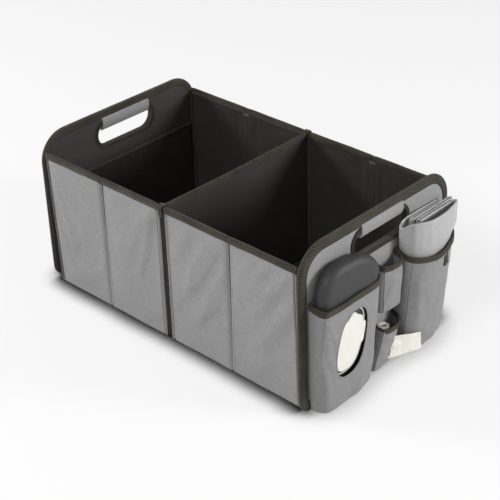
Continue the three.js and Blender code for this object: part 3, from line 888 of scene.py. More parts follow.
def outline_distance(y, z, inset=0.0):
    """Signed distance to the end panel's outline, positive inside."""
    half, foot, head = END_HALF - inset, END_FOOT + inset, END_TOP - inset
    radius = np.where(z > 140, END_TOP_RADIUS - inset, END_FOOT_RADIUS - inset)
    cy = np.maximum(np.abs(y) - (half - radius), 0)
    cz = np.maximum(np.maximum(z - (head - radius), (foot + radius) - z), 0)
    box = np.minimum(half - np.abs(y), np.minimum(z - foot, head - z))
    return np.where((cy > 0) & (cz > 0), radius - np.hypot(cy, cz), box)


def slot_distance(y, z):
    """Distance outside the handle hole's edge, negative inside the hole."""
    return np.hypot(np.maximum(np.abs(y - HOLE_Y) - HOLE_REACH, 0), z - HOLE_Z) - HOLE_RADIUS


def kept_only(faces, count):
    """The places of used points in a list of count points, and the faces on them."""
    used = np.unique(np.array(faces))
    ids = np.full(count, -1)
    ids[used] = np.arange(len(used))
    return used, [tuple(ids[list(f)]) for f in faces]


def plate(inset, hole, step):
    """A grid over the end panel, with the points by an edge moved onto it, as (y, z) and faces."""
    ys = np.arange(-END_HALF + inset, END_HALF - inset + step / 2, step)
    zs = np.arange(END_FOOT + inset, END_TOP - inset + step / 2, step)
    Y, Z = grid(ys, zs)

    def from_edge(y, z):
        return outline_distance(y, z, inset)

    def from_hole(y, z):
        return slot_distance(y, z) - hole

    keep = np.minimum(from_edge(Y, Z), from_hole(Y, Z))
    highest = np.maximum(np.maximum(keep[:-1, :-1], keep[1:, :-1]), np.maximum(keep[:-1, 1:], keep[1:, 1:]))
    faces = np.array(grid_faces(*Y.shape))[(highest > step * 0.25).ravel()]
    used = np.zeros(Y.size, bool)
    used[faces] = True
    used = used.reshape(Y.shape)
    e = 0.05
    for _ in range(3):
        for measure in (from_edge, from_hole):
            value = measure(Y, Z)
            gy = (measure(Y + e, Z) - measure(Y - e, Z)) / (2 * e)
            gz = (measure(Y, Z + e) - measure(Y, Z - e)) / (2 * e)
            size = np.maximum(np.hypot(gy, gz), 0.3)
            move = np.where(used & (value < 0), -value, 0)
            Y = Y + move * gy / size
            Z = Z + move * gz / size
    kept, faces = kept_only(faces, Y.size)
    return np.stack([Y.ravel(), Z.ravel()], -1)[kept], faces


def closed_plate(faces, count):
    """Faces of two plates of count points each, joined round their edges."""
    edges = [(a, b) for f in faces for a, b in zip(f, f[1:] + f[:1])]
    uses = Counter(frozenset(edge) for edge in edges)
    rim = [(b, a, count + a, count + b) for a, b in edges if uses[frozenset((a, b))] == 1]
    return faces + other_side(faces, count) + rim


def on_end(x, flat):
    """Points of an end panel from x and (y, z)."""
    return xyz(x, flat[:, 0], flat[:, 1])


class EndPanel:
    """One end panel, drawn for the right end and mirrored for the left one."""

    def __init__(self, hand, stance, grip_width, seed):
        self.hand, self.stance = hand, stance
        self.grip_width, self.seed = grip_width, seed
        self.name = HANDS[hand]
        self.body = f"{self.name}_end"

    def hung(self, points):
        points = self.stance(points)
        points[..., 0] *= self.hand
        return points

    def skin(self, label, points, flat, faces, material, stands_for):
        points, name = self.hung(points), f"{self.body}_{label}"
        piece(name, points, faces, material, flat * MM, self.body, f"{self.body}_{stands_for}", thick=0.6)

    def swept(self, label, path, side, up, profile, material, stands_for=None, closed=True):
        stands_for = f"{self.name}_{stands_for}" if stands_for else ()
        sweep(
            f"{self.name}_{label}", path, side, up, profile, material, self.body, stands_for,
            closed=closed, hang=self.hung,
        )

    def covers(self):
        flat, faces = plate(3.0, 1.5, 3.0)
        y, z = flat[:, 0], flat[:, 1]
        inside = np.clip(outline_distance(y, z) / 40, 0, 1) * np.clip(slot_distance(y, z) / 14, 0, 1)
        wave = 1.0 * rolling(y, z, 60, self.seed) + 0.5 * rolling(y, z, 26, self.seed + 1)
        wave += creased(y, z, [
            (-60, 236, -120, 190, 8, 0.9), (-66, 226, -140, 215, 7, -0.7), (84, 236, 130, 200, 8, 0.8),
            (0, 198, 10, 150, 14, 0.6),
        ])
        x = END_OUTSIDE + inside * (0.9 + 0.7 * wave)
        self.skin("outer_cloth", on_end(x, flat), flat, faces, GREY, "cover")
        fold = 0.8 * rolling(y, z * 0.6, 52, self.seed + 5) + 0.4 * rolling(y, z, 22, self.seed + 6)
        fold += creased(y, z, [(-20, 190, -90, 90, 12, 0.9), (60, 190, 90, 60, 12, 0.9)])
        # The left end's lining is flat below, where the net pocket lies on it.
        folded = 1.0 if self.hand > 0 else np.where(z > NET_TOP + 10, 1.0, 0.0)
        x = END_INSIDE - folded * inside * (0.15 + 0.35 * (fold + 0.6))
        self.skin("inner_cloth", on_end(x, flat), flat, faces, LINING, "lining")

    def stiffener(self):
        flat, faces = plate(5.0, 3.0, 6.0)
        points = np.concatenate([self.hung(on_end(x, flat)) for x in (279.3, 275.6)])
        uv, name = np.concatenate([flat, flat]) * MM, f"{self.body}_stiffener"
        faces = closed_plate(faces, len(flat))
        piece(name, points, faces, BOARD, uv, self.body, f"{self.body}_board", smooth=False)

    def edge(self):
        line, normal = rounded_outline(0.0, END_FOOT_RADIUS)
        run = np.arange(len(line)) * OUTLINE_STEP
        outward = on_end(0.0, normal)
        path = on_end(END_MIDDLE, line) + outward * (0.3 + 0.25 * wobble(run, 40, self.seed + 9))[:, None]
        profile = uneven(tape_profile(4.6, 13.0, swell=0.35), 1 + 0.03 * wobble(run, 28, self.seed + 8), 1.0)
        self.swept("end_edge", path, X_AXIS, outward, profile, TAPE, "end_binding")
        path = on_end(281.6, rounded_outline(EDGE_TAPE, 9.0)[0])
        side = np.cross(around(path), X_AXIS)
        self.swept("end_piping", path, side, X_AXIS, oval(0.8, 0.8, 8), PIPING)

    def hole_rim(self):
        """Two rolled beads on each face of the handle hole, joined over its edge."""
        line, normal = slot_outline()
        ring = [(4.6, -5.6), (5.6, -5.3), (6.1, -4.4), (5.6, -3.5), (5.0, -3.1)]
        ring += [(5.8, -2.4), (6.4, -1.0), (5.9, 0.5), (4.6, 1.1), (2.0, 1.3)]
        profile = ring + [(-a, b) for a, b in reversed(ring)]
        profile += [(-3.9, -5.3), (-3.8, -0.2), (3.8, -0.2), (3.9, -5.3)]
        path, into = on_end(END_MIDDLE, line), -on_end(0.0, normal)
        self.swept("handle_rim", path, X_AXIS, into, profile, PIPING, "handle_binding")

    def grip(self):
        """A sleeve over the bar above the hole."""
        top, foot, half = 256.5, 235.5, self.grip_width / 2
        down = []
        for s in np.linspace(0, 1, 20):
            down.append((5.5 + 2.1 * math.sin(math.pi * s) ** 0.6 - 2.4 * s ** 3, top + (foot - top) * s))
        under = [(3.1 * math.cos(a), foot + 3.0 * math.sin(a)) for a in np.linspace(0, -math.pi, 12)[1:-1]]
        course = np.array(down + under + [(-out, z) for out, z in reversed(down)])
        y = steps(GRIP_Y - half, GRIP_Y + half, 0.8, 3.0, 5.0)
        edge = np.minimum(y - y[0], y[-1] - y)
        swell = 1 + 0.05 * wobble(y, 20, self.seed + 12) - 0.10 * bump_up(y, GRIP_Y + 0.14 * half, 1.0)
        swell = swell + 0.06 * bump_up(edge, 2.0, 1.3) - 0.25 * np.clip(1 - edge / 1.2, 0, 1) ** 2
        profile, path = uneven(course, swell, 1.0), xyz(END_MIDDLE, y, 0.0)
        self.swept("grip_sleeve", path, X_AXIS, Z_AXIS, profile, GREY, "handle_grip", closed=False)

    def build(self):
        self.covers()
        self.stiffener()
        self.edge()
        self.hole_rim()
        self.grip()


EndPanel(-1, stand, grip_width=106.0, seed=131).build()
EndPanel(1, settle, grip_width=97.0, seed=101).build()


# Net pocket and piping inside the left end

def net_pocket():
    flat, faces = plate(13.0, 1.0, 4.0)
    y, rise = flat[:, 0], np.minimum(flat[:, 1], NET_TOP)
    kept = [f for f in faces if min(flat[i, 1] for i in f) < NET_TOP]
    slack = np.sin(np.clip((rise - 16) / 150, 0, 1) * math.pi) * np.clip((155 - np.abs(y)) / 60, 0, 1)
    x = 273.0 - 0.9 * slack * (0.6 + 0.4 * rolling(y, rise, 50, 151))
    piece(
        "net_pocket_mesh", xyz(-x, y, rise), kept, NET, flat * MM, "left_end", "mesh_pocket_net",
        thick=0.4,
    )
    y = np.linspace(-159.4, 159.4, 80)
    path = xyz(-272.6, y, 176.0 - 1.2 * (1 - (y / 160) ** 2))
    hem = [(0.9, 0.0), (1.0, -2.5), (0.9, -5.0), (-0.3, -5.0), (-0.5, -2.5), (-0.3, 0.0), (0.2, 0.35)]
    sweep("net_pocket_hem", path, X_AXIS, Z_AXIS, hem, TAPE, "left_end", "mesh_pocket_hem")


def corner_piping():
    """A thin piping down an inside corner."""
    z = np.linspace(3.0, WALL_TOP - 4, 60)
    path = stand(xyz(-271.0 - 0.3 * wobble(z, 60, 161), 163.2, z))
    made = sweep(
        "left_rear_corner_piping", path, X_AXIS, (0, 1, 0), oval(1.2, 1.2, 8), PIPING, "left_end",
    )
    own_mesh(made)


net_pocket()
corner_piping()


# Pockets on the right end

FOOT_ROUND = 4.5


def outwards(along):
    """The level direction square to a pocket's course."""
    return unit(xyz(along[..., 1], -along[..., 0], 0.0))


class Pocket:
    """Cloth stretched between a line round the mouth and a line round the foot, with a slight bulge."""

    def __init__(self, name, bottom, passes, bulge, lift, mouth, foot, seam):
        self.name, self.bottom = name, bottom
        self.bulge, self.lift = bulge, lift
        mouth = np.asarray(mouth, float)
        foot = np.array([(x, y, bottom) for x, y in foot], float)
        runs = [lengths(line[:, :2]) for line in (mouth, foot)]
        share = (runs[0] / runs[0][-1] + runs[1] / runs[1][-1]) / 2
        at = np.linspace(0, 1, int(2 * runs[0][-1]))
        self.mouth, self.foot = (soften(pick(line, share, at), passes) for line in (mouth, foot))
        self.length = lengths(self.mouth)[-1]
        self.centre = self.foot.mean(0)[1]
        self.height = self.mouth[:, 2].mean() - bottom
        # The seam runs from a share of the mouth to a share of the foot.
        self.seam = [
            np.argmin(np.hypot(line[:, 0] - x, line[:, 1] - y)) / (len(line) - 1)
            for line, (x, y) in zip((self.mouth, self.foot), seam)
        ]

    def on(self, line, share):
        return pick(line, np.linspace(0, 1, len(line)), share)

    def at(self, share, rise):
        """A point on the cloth, for a share of the way round and a share of the way up."""
        share, rise = np.broadcast_arrays(np.asarray(share, float), np.asarray(rise, float))
        lines, e = (self.foot, self.mouth), 0.012
        low, high = (self.on(line, share) for line in lines)
        ahead, behind = np.clip(share + e, 0, 1), np.clip(share - e, 0, 1)
        by_foot, by_mouth = (self.on(line, ahead) - self.on(line, behind) for line in lines)
        out = outwards(by_foot * (1 - rise)[..., None] + by_mouth * rise[..., None])
        bow = self.bulge * np.sin(math.pi * np.clip(rise, 0, 1)) * np.sin(math.pi * share) ** 0.5
        return low + (high - low) * rise[..., None] + out * bow[..., None]

    def normal(self, share, rise):
        e = 0.004
        return outwards(self.at(np.clip(share + e, 0, 1), rise) - self.at(np.clip(share - e, 0, 1), rise))

    def raised(self, share, rise, above=0.0):
        """The cloth with its folds, as points, normals, run and height."""
        run, z = share * self.length, self.bottom + rise * self.height
        normal = self.normal(share, rise)
        return self.at(share, rise) + normal * (self.lift(run, z) + above)[..., None], normal, run, z

    def find(self, y, z, start=0.5):
        """Where on the front the cloth passes a given y and z."""
        y, z = np.asarray(y, float), np.asarray(z, float)
        share = np.full(y.shape, start)
        rise = (z - self.bottom) / self.height
        e = 0.002
        for _ in range(8):
            here = self.at(share, rise)
            by_share = (self.at(share + e, rise) - here) / e
            by_rise = (self.at(share, rise + e) - here) / e
            a, b, c, d = by_share[..., 1], by_rise[..., 1], by_share[..., 2], by_rise[..., 2]
            off_y, off_z = y - here[..., 1], z - here[..., 2]
            size = a * d - b * c
            share = np.clip(share + (d * off_y - b * off_z) / size, 0.02, 0.98)
            rise = np.clip(rise + (a * off_z - c * off_y) / size, 0.0, 1.0)
        return share, rise

    def hold(self, points, middle, margin, loose):
        """Keeps contents inside the cloth. Above loose, in z, they stand free."""
        levels, columns, widest = 24, 200, 1.5
        angles = np.linspace(-widest, widest, columns)
        table = []
        for rise in np.linspace(0, 1, levels):
            ring = self.at(np.linspace(0, 1, 240), rise)
            x, y = ring[:, 0] - POCKET_BACK, ring[:, 1] - middle
            table.append(np.interp(angles, np.arctan2(y, x), np.hypot(x, y)))
        table = np.array(table)
        x, y = points[..., 0] - POCKET_BACK, points[..., 1] - middle
        radius, angle = np.hypot(x, y), np.clip(np.arctan2(y, x), -widest, widest)
        level = np.clip((points[..., 2] - self.bottom) / self.height, 0, 1) * (levels - 1)
        column = (angle + widest) / (2 * widest) * (columns - 1)
        i, j = np.minimum(level.astype(int), levels - 2), np.minimum(column.astype(int), columns - 2)
        fi, fj = level - i, column - j
        low = table[i, j] * (1 - fj) + table[i, j + 1] * fj
        high = table[i + 1, j] * (1 - fj) + table[i + 1, j + 1] * fj
        limit = low * (1 - fi) + high * fi - margin
        share = radius / limit
        kept = np.where(share < 0.8, share, 0.8 + 0.2 * np.tanh((share - 0.8) / 0.2)) * limit
        free = ease((points[..., 2] - loose) / 24)
        scale = (kept * (1 - free) + radius * free) / np.maximum(radius, 1e-6)
        return xyz(POCKET_BACK + x * scale, middle + y * scale, points[..., 2])

    def seam_run(self, rise):
        top, foot = self.seam
        return (foot + (top - foot) * rise) * self.length

    def surface(self, across, up):
        """The cloth from below the mouth tape to the closed foot, as points and uv in millimetres."""
        rises = np.linspace(1 - 1.5 / self.height, FOOT_ROUND / self.height, up)
        S, T = grid(np.linspace(0, 1, across), rises)
        run, z = S * self.length, self.bottom + T * self.height
        off = run - self.seam_run(T)
        amount = self.lift(run, z) - 0.45 * bump_up(off, 0, 0.8) + 0.35 * bump_up(off, 2.2, 1.2)
        amount = amount * np.clip(np.minimum(run, self.length - run) / 8, 0, 1)
        normal = self.normal(S, T)
        points = self.at(S, T) + normal * amount[..., None]
        # The foot turns under with a round edge and closes to the middle of the back.
        last, last_normal = points[:, -1], normal[:, -1]
        rows, heights = [], []
        for a in np.linspace(0, math.pi / 2, 8)[1:]:
            ring = last - last_normal * (FOOT_ROUND * (1 - math.cos(a)))
            ring[:, 2] = last[:, 2] - FOOT_ROUND * math.sin(a)
            rows.append(ring)
            heights.append(z[:, -1] - FOOT_ROUND * a)
        edge, middle = rows[-1], np.array([END_OUTSIDE, self.centre, self.bottom])
        for f in (0.75, 0.5, 0.25, 0.04):
            rows.append(middle + (edge - middle) * f)
            heights.append(z[:, -1] - 12 - 20 * (1 - f))
        points = np.concatenate([points, np.stack(rows, 1)], 1)
        z = np.concatenate([z, np.stack(heights, 1)], 1)
        return points, np.stack(np.broadcast_arrays(run[:, :1], z), -1), self.at(S, T)

    def add_cloth(self, across, up, opening=None):
        """Makes the cloth piece. An opening gives 1 at its edge, and more than 1 outside it."""
        points, uv, base = self.surface(across, up)
        shape = points.shape[:2]
        faces = grid_faces(*shape)
        flat, uv = points.reshape(-1, 3), uv.reshape(-1, 2)
        if opening is not None:
            r = np.full(shape, 9.0)
            r[:, :up] = opening.radius(base[..., 1], base[..., 2])
            r = r.ravel()
            faces = [f for f in faces if max(r[i] for i in f) > 1.0]
            used = np.zeros(len(flat), bool)
            used[np.array(faces)] = True
            move = np.flatnonzero(used & (r < 1.0))
            flat[move], _, run, z = opening.edge_points(flat[move, 1], flat[move, 2])
            uv[move] = np.stack([run, z], -1)
        used, faces = kept_only(faces, len(flat))
        name = f"{self.name}_cloth"
        piece(name, flat[used], faces, SHADED_POCKET_GREY, uv[used] * MM, "right_end", self.name, thick=1.1)

    def add_mouth(self, sag=0.5, drop=9.5, half=2.0):
        """Tape folded over the pocket's mouth."""
        share = np.linspace(0.0, 1.0, 160)
        run = share * self.length
        normal = self.normal(share, 1.0)
        path = self.at(share, 1.0) - normal * 0.6
        path[:, 2] -= sag * np.sin(math.pi * share) ** 2 + 0.4 * wobble(run, 35, len(self.name))
        wide, high = 1 + 0.06 * wobble(run, 16, 5), 1 + 0.05 * wobble(run, 24, 6)
        profile = uneven(tape_profile(half, drop, swell=0.3), wide, high)
        name, stands_for = f"{self.name}_mouth", f"{self.name}_binding"
        sweep(name, path, normal, Z_AXIS, profile, TAPE, "right_end", stands_for)

    def add_stitches(self, offset):
        """A row of stitches beside the seam."""
        rise = np.linspace(0.05, 0.93, 80)
        line, normal, _, _ = self.raised((self.seam_run(rise) + offset) / self.length, rise, 0.15)
        stitches(f"{self.name}_seam_stitches", line, normal, "right_end")


def relief(waves, strokes, top, fade, scale):
    """How far a pocket's cloth stands out, from waves of (height, period, seed) and strokes."""

    def lift(run, z):
        wave = sum(high * rolling(run, z, period, seed) for high, period, seed in waves)
        wave = wave + creased(run, z, strokes)
        return wave * np.clip((top - z) / fade, 0, 1) * scale

    return lift


wipes_relief = relief(
    [(0.8, 42, 201), (0.35, 17, 202)],
    [(30, 60, 16, 150, 9, 1.4), (45, 40, 30, 110, 7, -1.2), (22, 110, 40, 40, 6, 1.0),
     (178, 60, 160, 20, 12, 1.4), (110, 45, 50, 12, 9, 1.6), (150, 60, 105, 10, 9, 1.4),
     (40, 150, 60, 112, 6, 1.2), (44, 122, 58, 95, 5, -1.0), (38, 92, 58, 62, 6, 1.3)],
    top=176, fade=22, scale=1.3,
)
small_relief = relief(
    [(0.6, 30, 221), (0.3, 13, 222)], [(20, 102, 50, 160, 8, 1.1), (75, 102, 60, 150, 7, 1.0)],
    top=172, fade=16, scale=1.0,
)
bag_relief = relief(
    [(0.7, 26, 231), (0.35, 12, 232)],
    [(48, 40, 28, 62, 5, 1.2), (40, 28, 22, 40, 4, 1.1), (60, 20, 30, 10, 5, 0.9)],
    top=64, fade=12, scale=1.0,
)
tall_relief = relief(
    [(0.9, 48, 241), (0.4, 19, 242)],
    [(50, 160, 70, 90, 10, 1.1), (44, 130, 56, 40, 8, 1.1), (120, 150, 100, 60, 12, 1.2),
     (60, 40, 110, 12, 10, 1.0)],
    top=166, fade=22, scale=1.3,
)


def calm_wipes_relief(run, z):
    """The cloth lies calm around the window."""
    by_window = ease((run - 44) / 14) * ease((150 - run) / 14) * ease((z - 30) / 18) * ease((172 - z) / 14)
    return wipes_relief(run, z) * (1 - 0.85 * by_window)


WIPES = Pocket(
    "wipes_pocket", 1.5, 150, 2.5, calm_wipes_relief,
    [(281, -155, 180), (292, -157.5, 178.5), (308, -158.5, 177), (315.5, -153, 176.5), (316, -120, 176),
     (315, -80, 175.5), (313, -50, 173.5), (310.6, -31, 172), (298, -14.5, 170), (289, -11.5, 169),
     (281, -9.5, 168)],
    [(293, -165), (300, -166), (309, -163.5), (320, -156), (321, -122),
     (320, -83), (315, -60), (309, -46), (300, -38), (291, -36.5), (281, -36)],
    seam=((314.5, -155.5), (304, -164.5)),
)
SMALL = Pocket(
    "small_pocket", 92.0, 40, 0.8, small_relief,
    [(281, -8, 180), (292, -8.5, 178), (299, -4, 176), (302.5, 10, 173.5),
     (303.5, 30, 174.5), (300, 37.5, 177), (290, 39.5, 180), (281, 40, 182.5)],
    [(281, -10), (291, -10), (298, -4), (300.5, 10), (301.5, 30), (300, 37), (291, 39), (281, 38.5)],
    seam=((298, -5), (297, -5)),
)
BAG = Pocket(
    "bag_pocket", 1.5, 40, 1.5, bag_relief,
    [(281, -8, 72), (296, -10.5, 69), (305, -8, 68), (308, 3, 67.5),
     (308.5, 18, 67.5), (304, 30, 68), (296, 38, 70), (281, 39.5, 75)],
    [(281, -34.5), (296, -35.5), (304.5, -33), (305.5, -20), (304.5, -3), (303.5, 8), (298, 22), (281, 32)],
    seam=((303.5, -8.5), (303.5, -33)),
)
TALL = Pocket(
    "tall_pocket", 1.5, 160, 1.5, tall_relief,
    [(281, 42, 183.6), (296, 41.5, 178.5), (306, 42, 175), (317, 50, 173.5), (326, 62, 172.5),
     (331.5, 85, 170.5), (330, 108, 171.5), (321, 135, 174.5), (309, 153.5, 177.5), (281, 160, 180)],
    [(281, 37), (296, 36), (304, 37.5), (309, 42), (313.5, 50),
     (317, 72), (316, 100), (308, 133), (297, 145), (281, 150)],
    seam=((312, 46), (304, 38)),
)


class Window:
    """The tilted oval opening of the wipes pocket."""

    y, z, half_y, half_z, tilt = -101.0, 101.5, 34.2, 51.4, 0.215

    def flat(self, a, b):
        """y and z from an upright place in the oval."""
        return self.y + a + self.tilt * b, self.z + b

    def upright(self, y, z):
        return (y - self.y) - self.tilt * (z - self.z), z - self.z

    def radius(self, y, z):
        a, b = self.upright(y, z)
        power = 2.5
        return (np.abs(a / self.half_y) ** power + np.abs(b / self.half_z) ** power) ** (1 / power)

    def on_cloth(self, a, b):
        return WIPES.raised(*WIPES.find(*self.flat(a, b), 0.45))

    def edge_points(self, y, z):
        """Moves places inside the opening out to its edge."""
        size = np.maximum(self.radius(y, z), 0.05)
        a, b = self.upright(y, z)
        return self.on_cloth(a / size, b / size)

    def add_hem(self):
        path, normal, _, _ = self.on_cloth(*oval(self.half_y, self.half_z, 140, 0.8, 0.8).T)
        side = np.cross(around(path), normal)
        path = path - normal * 0.1
        sweep(
            "wipes_window_hem", path, side, normal, oval(1.5, 0.9, 10), SHADED_POCKET_GREY, "right_end",
            closed=True,
        )


class Slit:
    """The slanted slit of the lower pocket, where the bags come out."""

    low, high, half = (0.3, 9.7), (15.3, 46.9), 1.3

    def nearest(self, y, z):
        """The slit's nearest place, and the way from there."""
        (y0, z0), (y1, z1) = self.low, self.high
        dy, dz = y1 - y0, z1 - z0
        share = np.clip(((y - y0) * dy + (z - z0) * dz) / (dy * dy + dz * dz), 0, 1)
        at_y, at_z = y0 + share * dy, z0 + share * dz
        return at_y, at_z, y - at_y, z - at_z

    def radius(self, y, z):
        _, _, off_y, off_z = self.nearest(y, z)
        return np.hypot(off_y, off_z) / self.half

    def edge_points(self, y, z):
        """Moves places inside the opening out to its edge."""
        at_y, at_z, off_y, off_z = self.nearest(y, z)
        scale = self.half / np.maximum(np.hypot(off_y, off_z), 0.02)
        return BAG.raised(*BAG.find(at_y + off_y * scale, at_z + off_z * scale))


WINDOW = Window()
WIPES.add_cloth(across=230, up=160, opening=WINDOW)
WIPES.add_mouth()
WIPES.add_stitches(offset=2.6)
WINDOW.add_hem()

SMALL.add_cloth(across=110, up=80)
SMALL.add_mouth(drop=9.0, half=1.8)
SMALL.add_stitches(offset=2.2)

BAG.add_mouth(sag=0.3, drop=8.5, half=1.8)
BAG.add_stitches(offset=2.2)

TALL.add_cloth(across=190, up=140)
TALL.add_mouth()
TALL.add_stitches(offset=2.6)

BAG.add_cloth(across=180, up=120, opening=Slit())


# Wipes case and lid

LID_Y, LID_Z, LID_TILT = -102.8, 102.0, 0.19


def case_ring(inset):
    """The case's rounded outline in (y, z), shrunk by an inset, from its right foot anticlockwise."""
    low_y, high_y, low_z, high_z = -152.0, -18.5, 5.5, 232.0
    corners = [
        (high_y - 26.0, low_z + 26.0, 26.0), (high_y - 60.0, high_z - 60.0, 60.0),
        (low_y + 48.0, high_z - 48.0, 48.0), (low_y + 26.0, low_z + 26.0, 26.0),
    ]
    points = []
    for quarter, (y, z, radius) in enumerate(corners):
        for a in np.linspace((quarter - 1) * math.pi / 2, quarter * math.pi / 2, 24):
            points.append((y + (radius - inset) * math.cos(a), z + (radius - inset) * math.sin(a)))
    return np.array(points)


def case_body():
    """A slab with round edges and slightly crowned faces, in rings from the back to the front."""
    back, front, edge, crown = 284.4, 311.5, 13.0, 0.8
    core = case_ring(edge)
    middle = core.mean(0)
    shares, turns = (0.02, 0.15, 0.35, 0.6, 0.85), np.linspace(0, math.pi / 2, 8)
    rows = [(middle + (core - middle) * f, back - crown * (1 - f ** 2)) for f in shares]
    rows += [(case_ring(edge * (1 - math.sin(a))), back + edge * (1 - math.cos(a))) for a in turns]
    rows += [(case_ring(edge * (1 - math.cos(a))), front - edge * (1 - math.sin(a))) for a in turns]
    rows += [(middle + (core - middle) * f, front + crown * (1 - f ** 2)) for f in reversed(shares)]
    points = np.concatenate([on_end(x, ring) for ring, x in rows])
    y, z = points[:, 1], points[:, 2]
    fall = 0.09 * (y + 100) * ease((z - 120) / 80)
    taper = 14.0 * np.clip(1 - z / 170, 0, 1) * np.clip((y + 120) / 100, 0, 1)
    shaped = xyz(points[:, 0], y - taper, z - fall)
    shaped = WIPES.hold(shaped, middle=-84.0, margin=2.2, loose=170.0)
    # Its back clears the grip when it is pulled out.
    shaped[:, 0] += ease((shaped[:, 1] + 47) / 8) * np.maximum(GRIP_CLEAR - shaped[:, 0], 0)
    faces = tube_faces(len(rows), len(core))
    piece("wipes_case_body", shaped, faces, CASE, points[:, 1:] * MM, "wipes_case", "wipes_case")


def oval_rings(name, rings, body, stands_for=(), lid=False):
    """Stacked ovals, each (half y, half z, x). The lid's end in caps, and the frame's meet again."""
    count = 160
    rows = []
    for half_y, half_z, x in rings:
        a, b = oval(half_y, half_z, count, 2 / 2.7, 2 / 2.7).T
        if lid:
            # It narrows towards its hinge and has a thumb tab on one side.
            a = a * (1 - 0.5 * ease((b - 30) / 12))
            a = a + (a > 0) * 6.4 * half_y / 28 * ease((b + 16) / 4) * ease((22 - b) / 4)
        rows.append(xyz(x, LID_Y + a + LID_TILT * b, LID_Z + b))
    faces = tube_faces(len(rows), count, caps=lid)
    if not lid:
        last = (len(rows) - 1) * count
        faces += [(last + i, i, (i + 1) % count, last + (i + 1) % count) for i in range(count)]
    points = np.concatenate(rows)
    piece(name, points, faces, CREAM, points[:, 1:] * MM, body, stands_for)


case_body()
oval_rings(
    "wipes_case_frame",
    [(30.8, 49.0, 311.2), (31.6, 49.8, 313.2), (31.0, 49.2, 314.2),
     (30.3, 48.5, 314.4), (29.9, 48.1, 313.8), (29.8, 48.0, 311.2)],
    "wipes_case",
)
oval_rings(
    "wipes_lid_plate",
    [(25.9, 43.6, 312.4), (27.1, 44.8, 312.8), (27.4, 45.1, 313.6), (27.3, 45.0, 315.0), (26.7, 44.4, 315.8),
     (25.5, 43.2, 315.9), (24.5, 42.2, 315.5), (22.3, 39.8, 315.4), (12.0, 22.0, 315.9), (1.0, 1.0, 316.1)],
    "wipes_lid", "wipes_lid", lid=True,
)


# Changing pad

# The folded strip from above, in (x, y), from its inner end to its outer one.
PAD_COURSE = [
    (302.6, 66), (302.5, 152), (299.7, 155.2), (297.0, 152), (296.7, 64), (293.9, 60.8), (291.1, 64),
    (291.1, 134), (288.4, 137.2), (285.8, 134), (285.6, 50), (287.0, 45.5), (292, 43.0), (299, 45.0),
    (305, 48.5), (311, 51), (318, 61), (323.5, 74), (325.0, 92), (324.5, 110), (320, 133), (314.5, 149),
    (311.4, 152.4), (308.4, 149), (308.2, 66),
]


def pad_piece():
    foot = 8.0
    line = soft_line(PAD_COURSE, 1300, 14)[::3]
    along = unit(np.gradient(line, axis=0))
    R, S = grid(lengths(line), np.concatenate([np.linspace(0, 0.94, 46), np.linspace(0.95, 1.0, 14)]))
    x, y = line[:, :1] + 0 * S, line[:, 1:] + 0 * S
    top = 226.5 + 3.0 * np.clip((x - 290) / 25, 0, 1) - 8.5 * bump_up(y, 42, 7) * bump_up(x, 292, 11)
    height = top + 0.7 * wobble(R, 45, 263) - foot
    puff = 1 + 0.12 * rolling(R, S * height, 34, 261)
    tip = np.clip((1 - S) * height / 2.6, 0, 1)
    half = 2.1 * puff * (0.2 + 0.8 * np.sqrt(1 - (1 - tip) ** 2))
    drift = 0.5 * rolling(y, S * height, 60, 262) * np.clip(S * 3, 0, 1)

    def face(sign):
        skin = xyz(x + sign * along[:, 1:] * half + drift, y - sign * along[:, :1] * half, foot + S * height)
        held = TALL.hold(skin, middle=96.0, margin=2.2, loose=172.0)
        # Its back clears the grip when it is pulled out.
        held[..., 0] += ease((64 - held[..., 1]) / 8) * np.maximum(GRIP_CLEAR - held[..., 0], 0)
        return held

    uv = (R, S * height)
    made = sheet("changing_pad_folds", face(1), face(-1), uv, PAD_GREY, "changing_pad", "changing_pad")


# Bag roll and its first bag

def roll_piece():
    middle, core, radius, foot, top, turns = (291.8, 6.5), 4.6, 9.2, 6.0, 64.0, 9
    angle = np.linspace(0, turns * TURN, turns * 36)
    out = np.stack([np.cos(angle), np.sin(angle)], -1)
    reach = core + (radius - core) * angle / angle[-1]
    z = np.linspace(foot, top, 12)[None, :]
    height = z + 0.25 * np.sin(angle * 3)[:, None]
    rings = [middle + out * (reach + off)[:, None] for off in (0.12, -0.12)]
    front, back = (xyz(ring[:, :1], ring[:, 1:], height) for ring in rings)
    run = lengths(out * reach[:, None])[:, None]
    sheet("bag_roll_film", front, back, (run, z), FILM, "bag_roll", "bag_roll")


def bag_sheet():
    """The folded bag that leaves the roll through the slit and hangs beside it."""
    wide = 38
    low, high = (soft_line(points, 120, 24) for points in (
        [(298.6, -0.9, 9.0), (301.6, -1.0, 9.2), (304.6, 0.9, 9.7),
         (309, 11, 9.3), (317, 35, 8.4), (325, 60, 8.0)],
        [(301.6, 8.6, 47.4), (304.6, 11.5, 47.2), (308.2, 16.0, 46.9),
         (311, 23, 45.8), (318, 40, 42.6), (325, 58, 39.5)],
    ))
    R, S = grid(lengths((low + high) / 2), np.linspace(0, 1, 34))
    front = low[:, None, :] + (high - low)[:, None, :] * S[..., None]
    ripple = 0.8 * np.sin(S * 13 + 0.6) * bump_up(R, 15, 10)
    ripple += 0.8 * rolling(R, S * wide, 14, 271) * ease((R - 10) / 30)
    front[..., 0] += ripple * np.clip(R / 8, 0, 1)
    back = front - (0.35, 0, 0)
    made = sheet("first_bag", front, back, (R, S * wide), FILM, "right_end", "bag_sheet")


# Tag

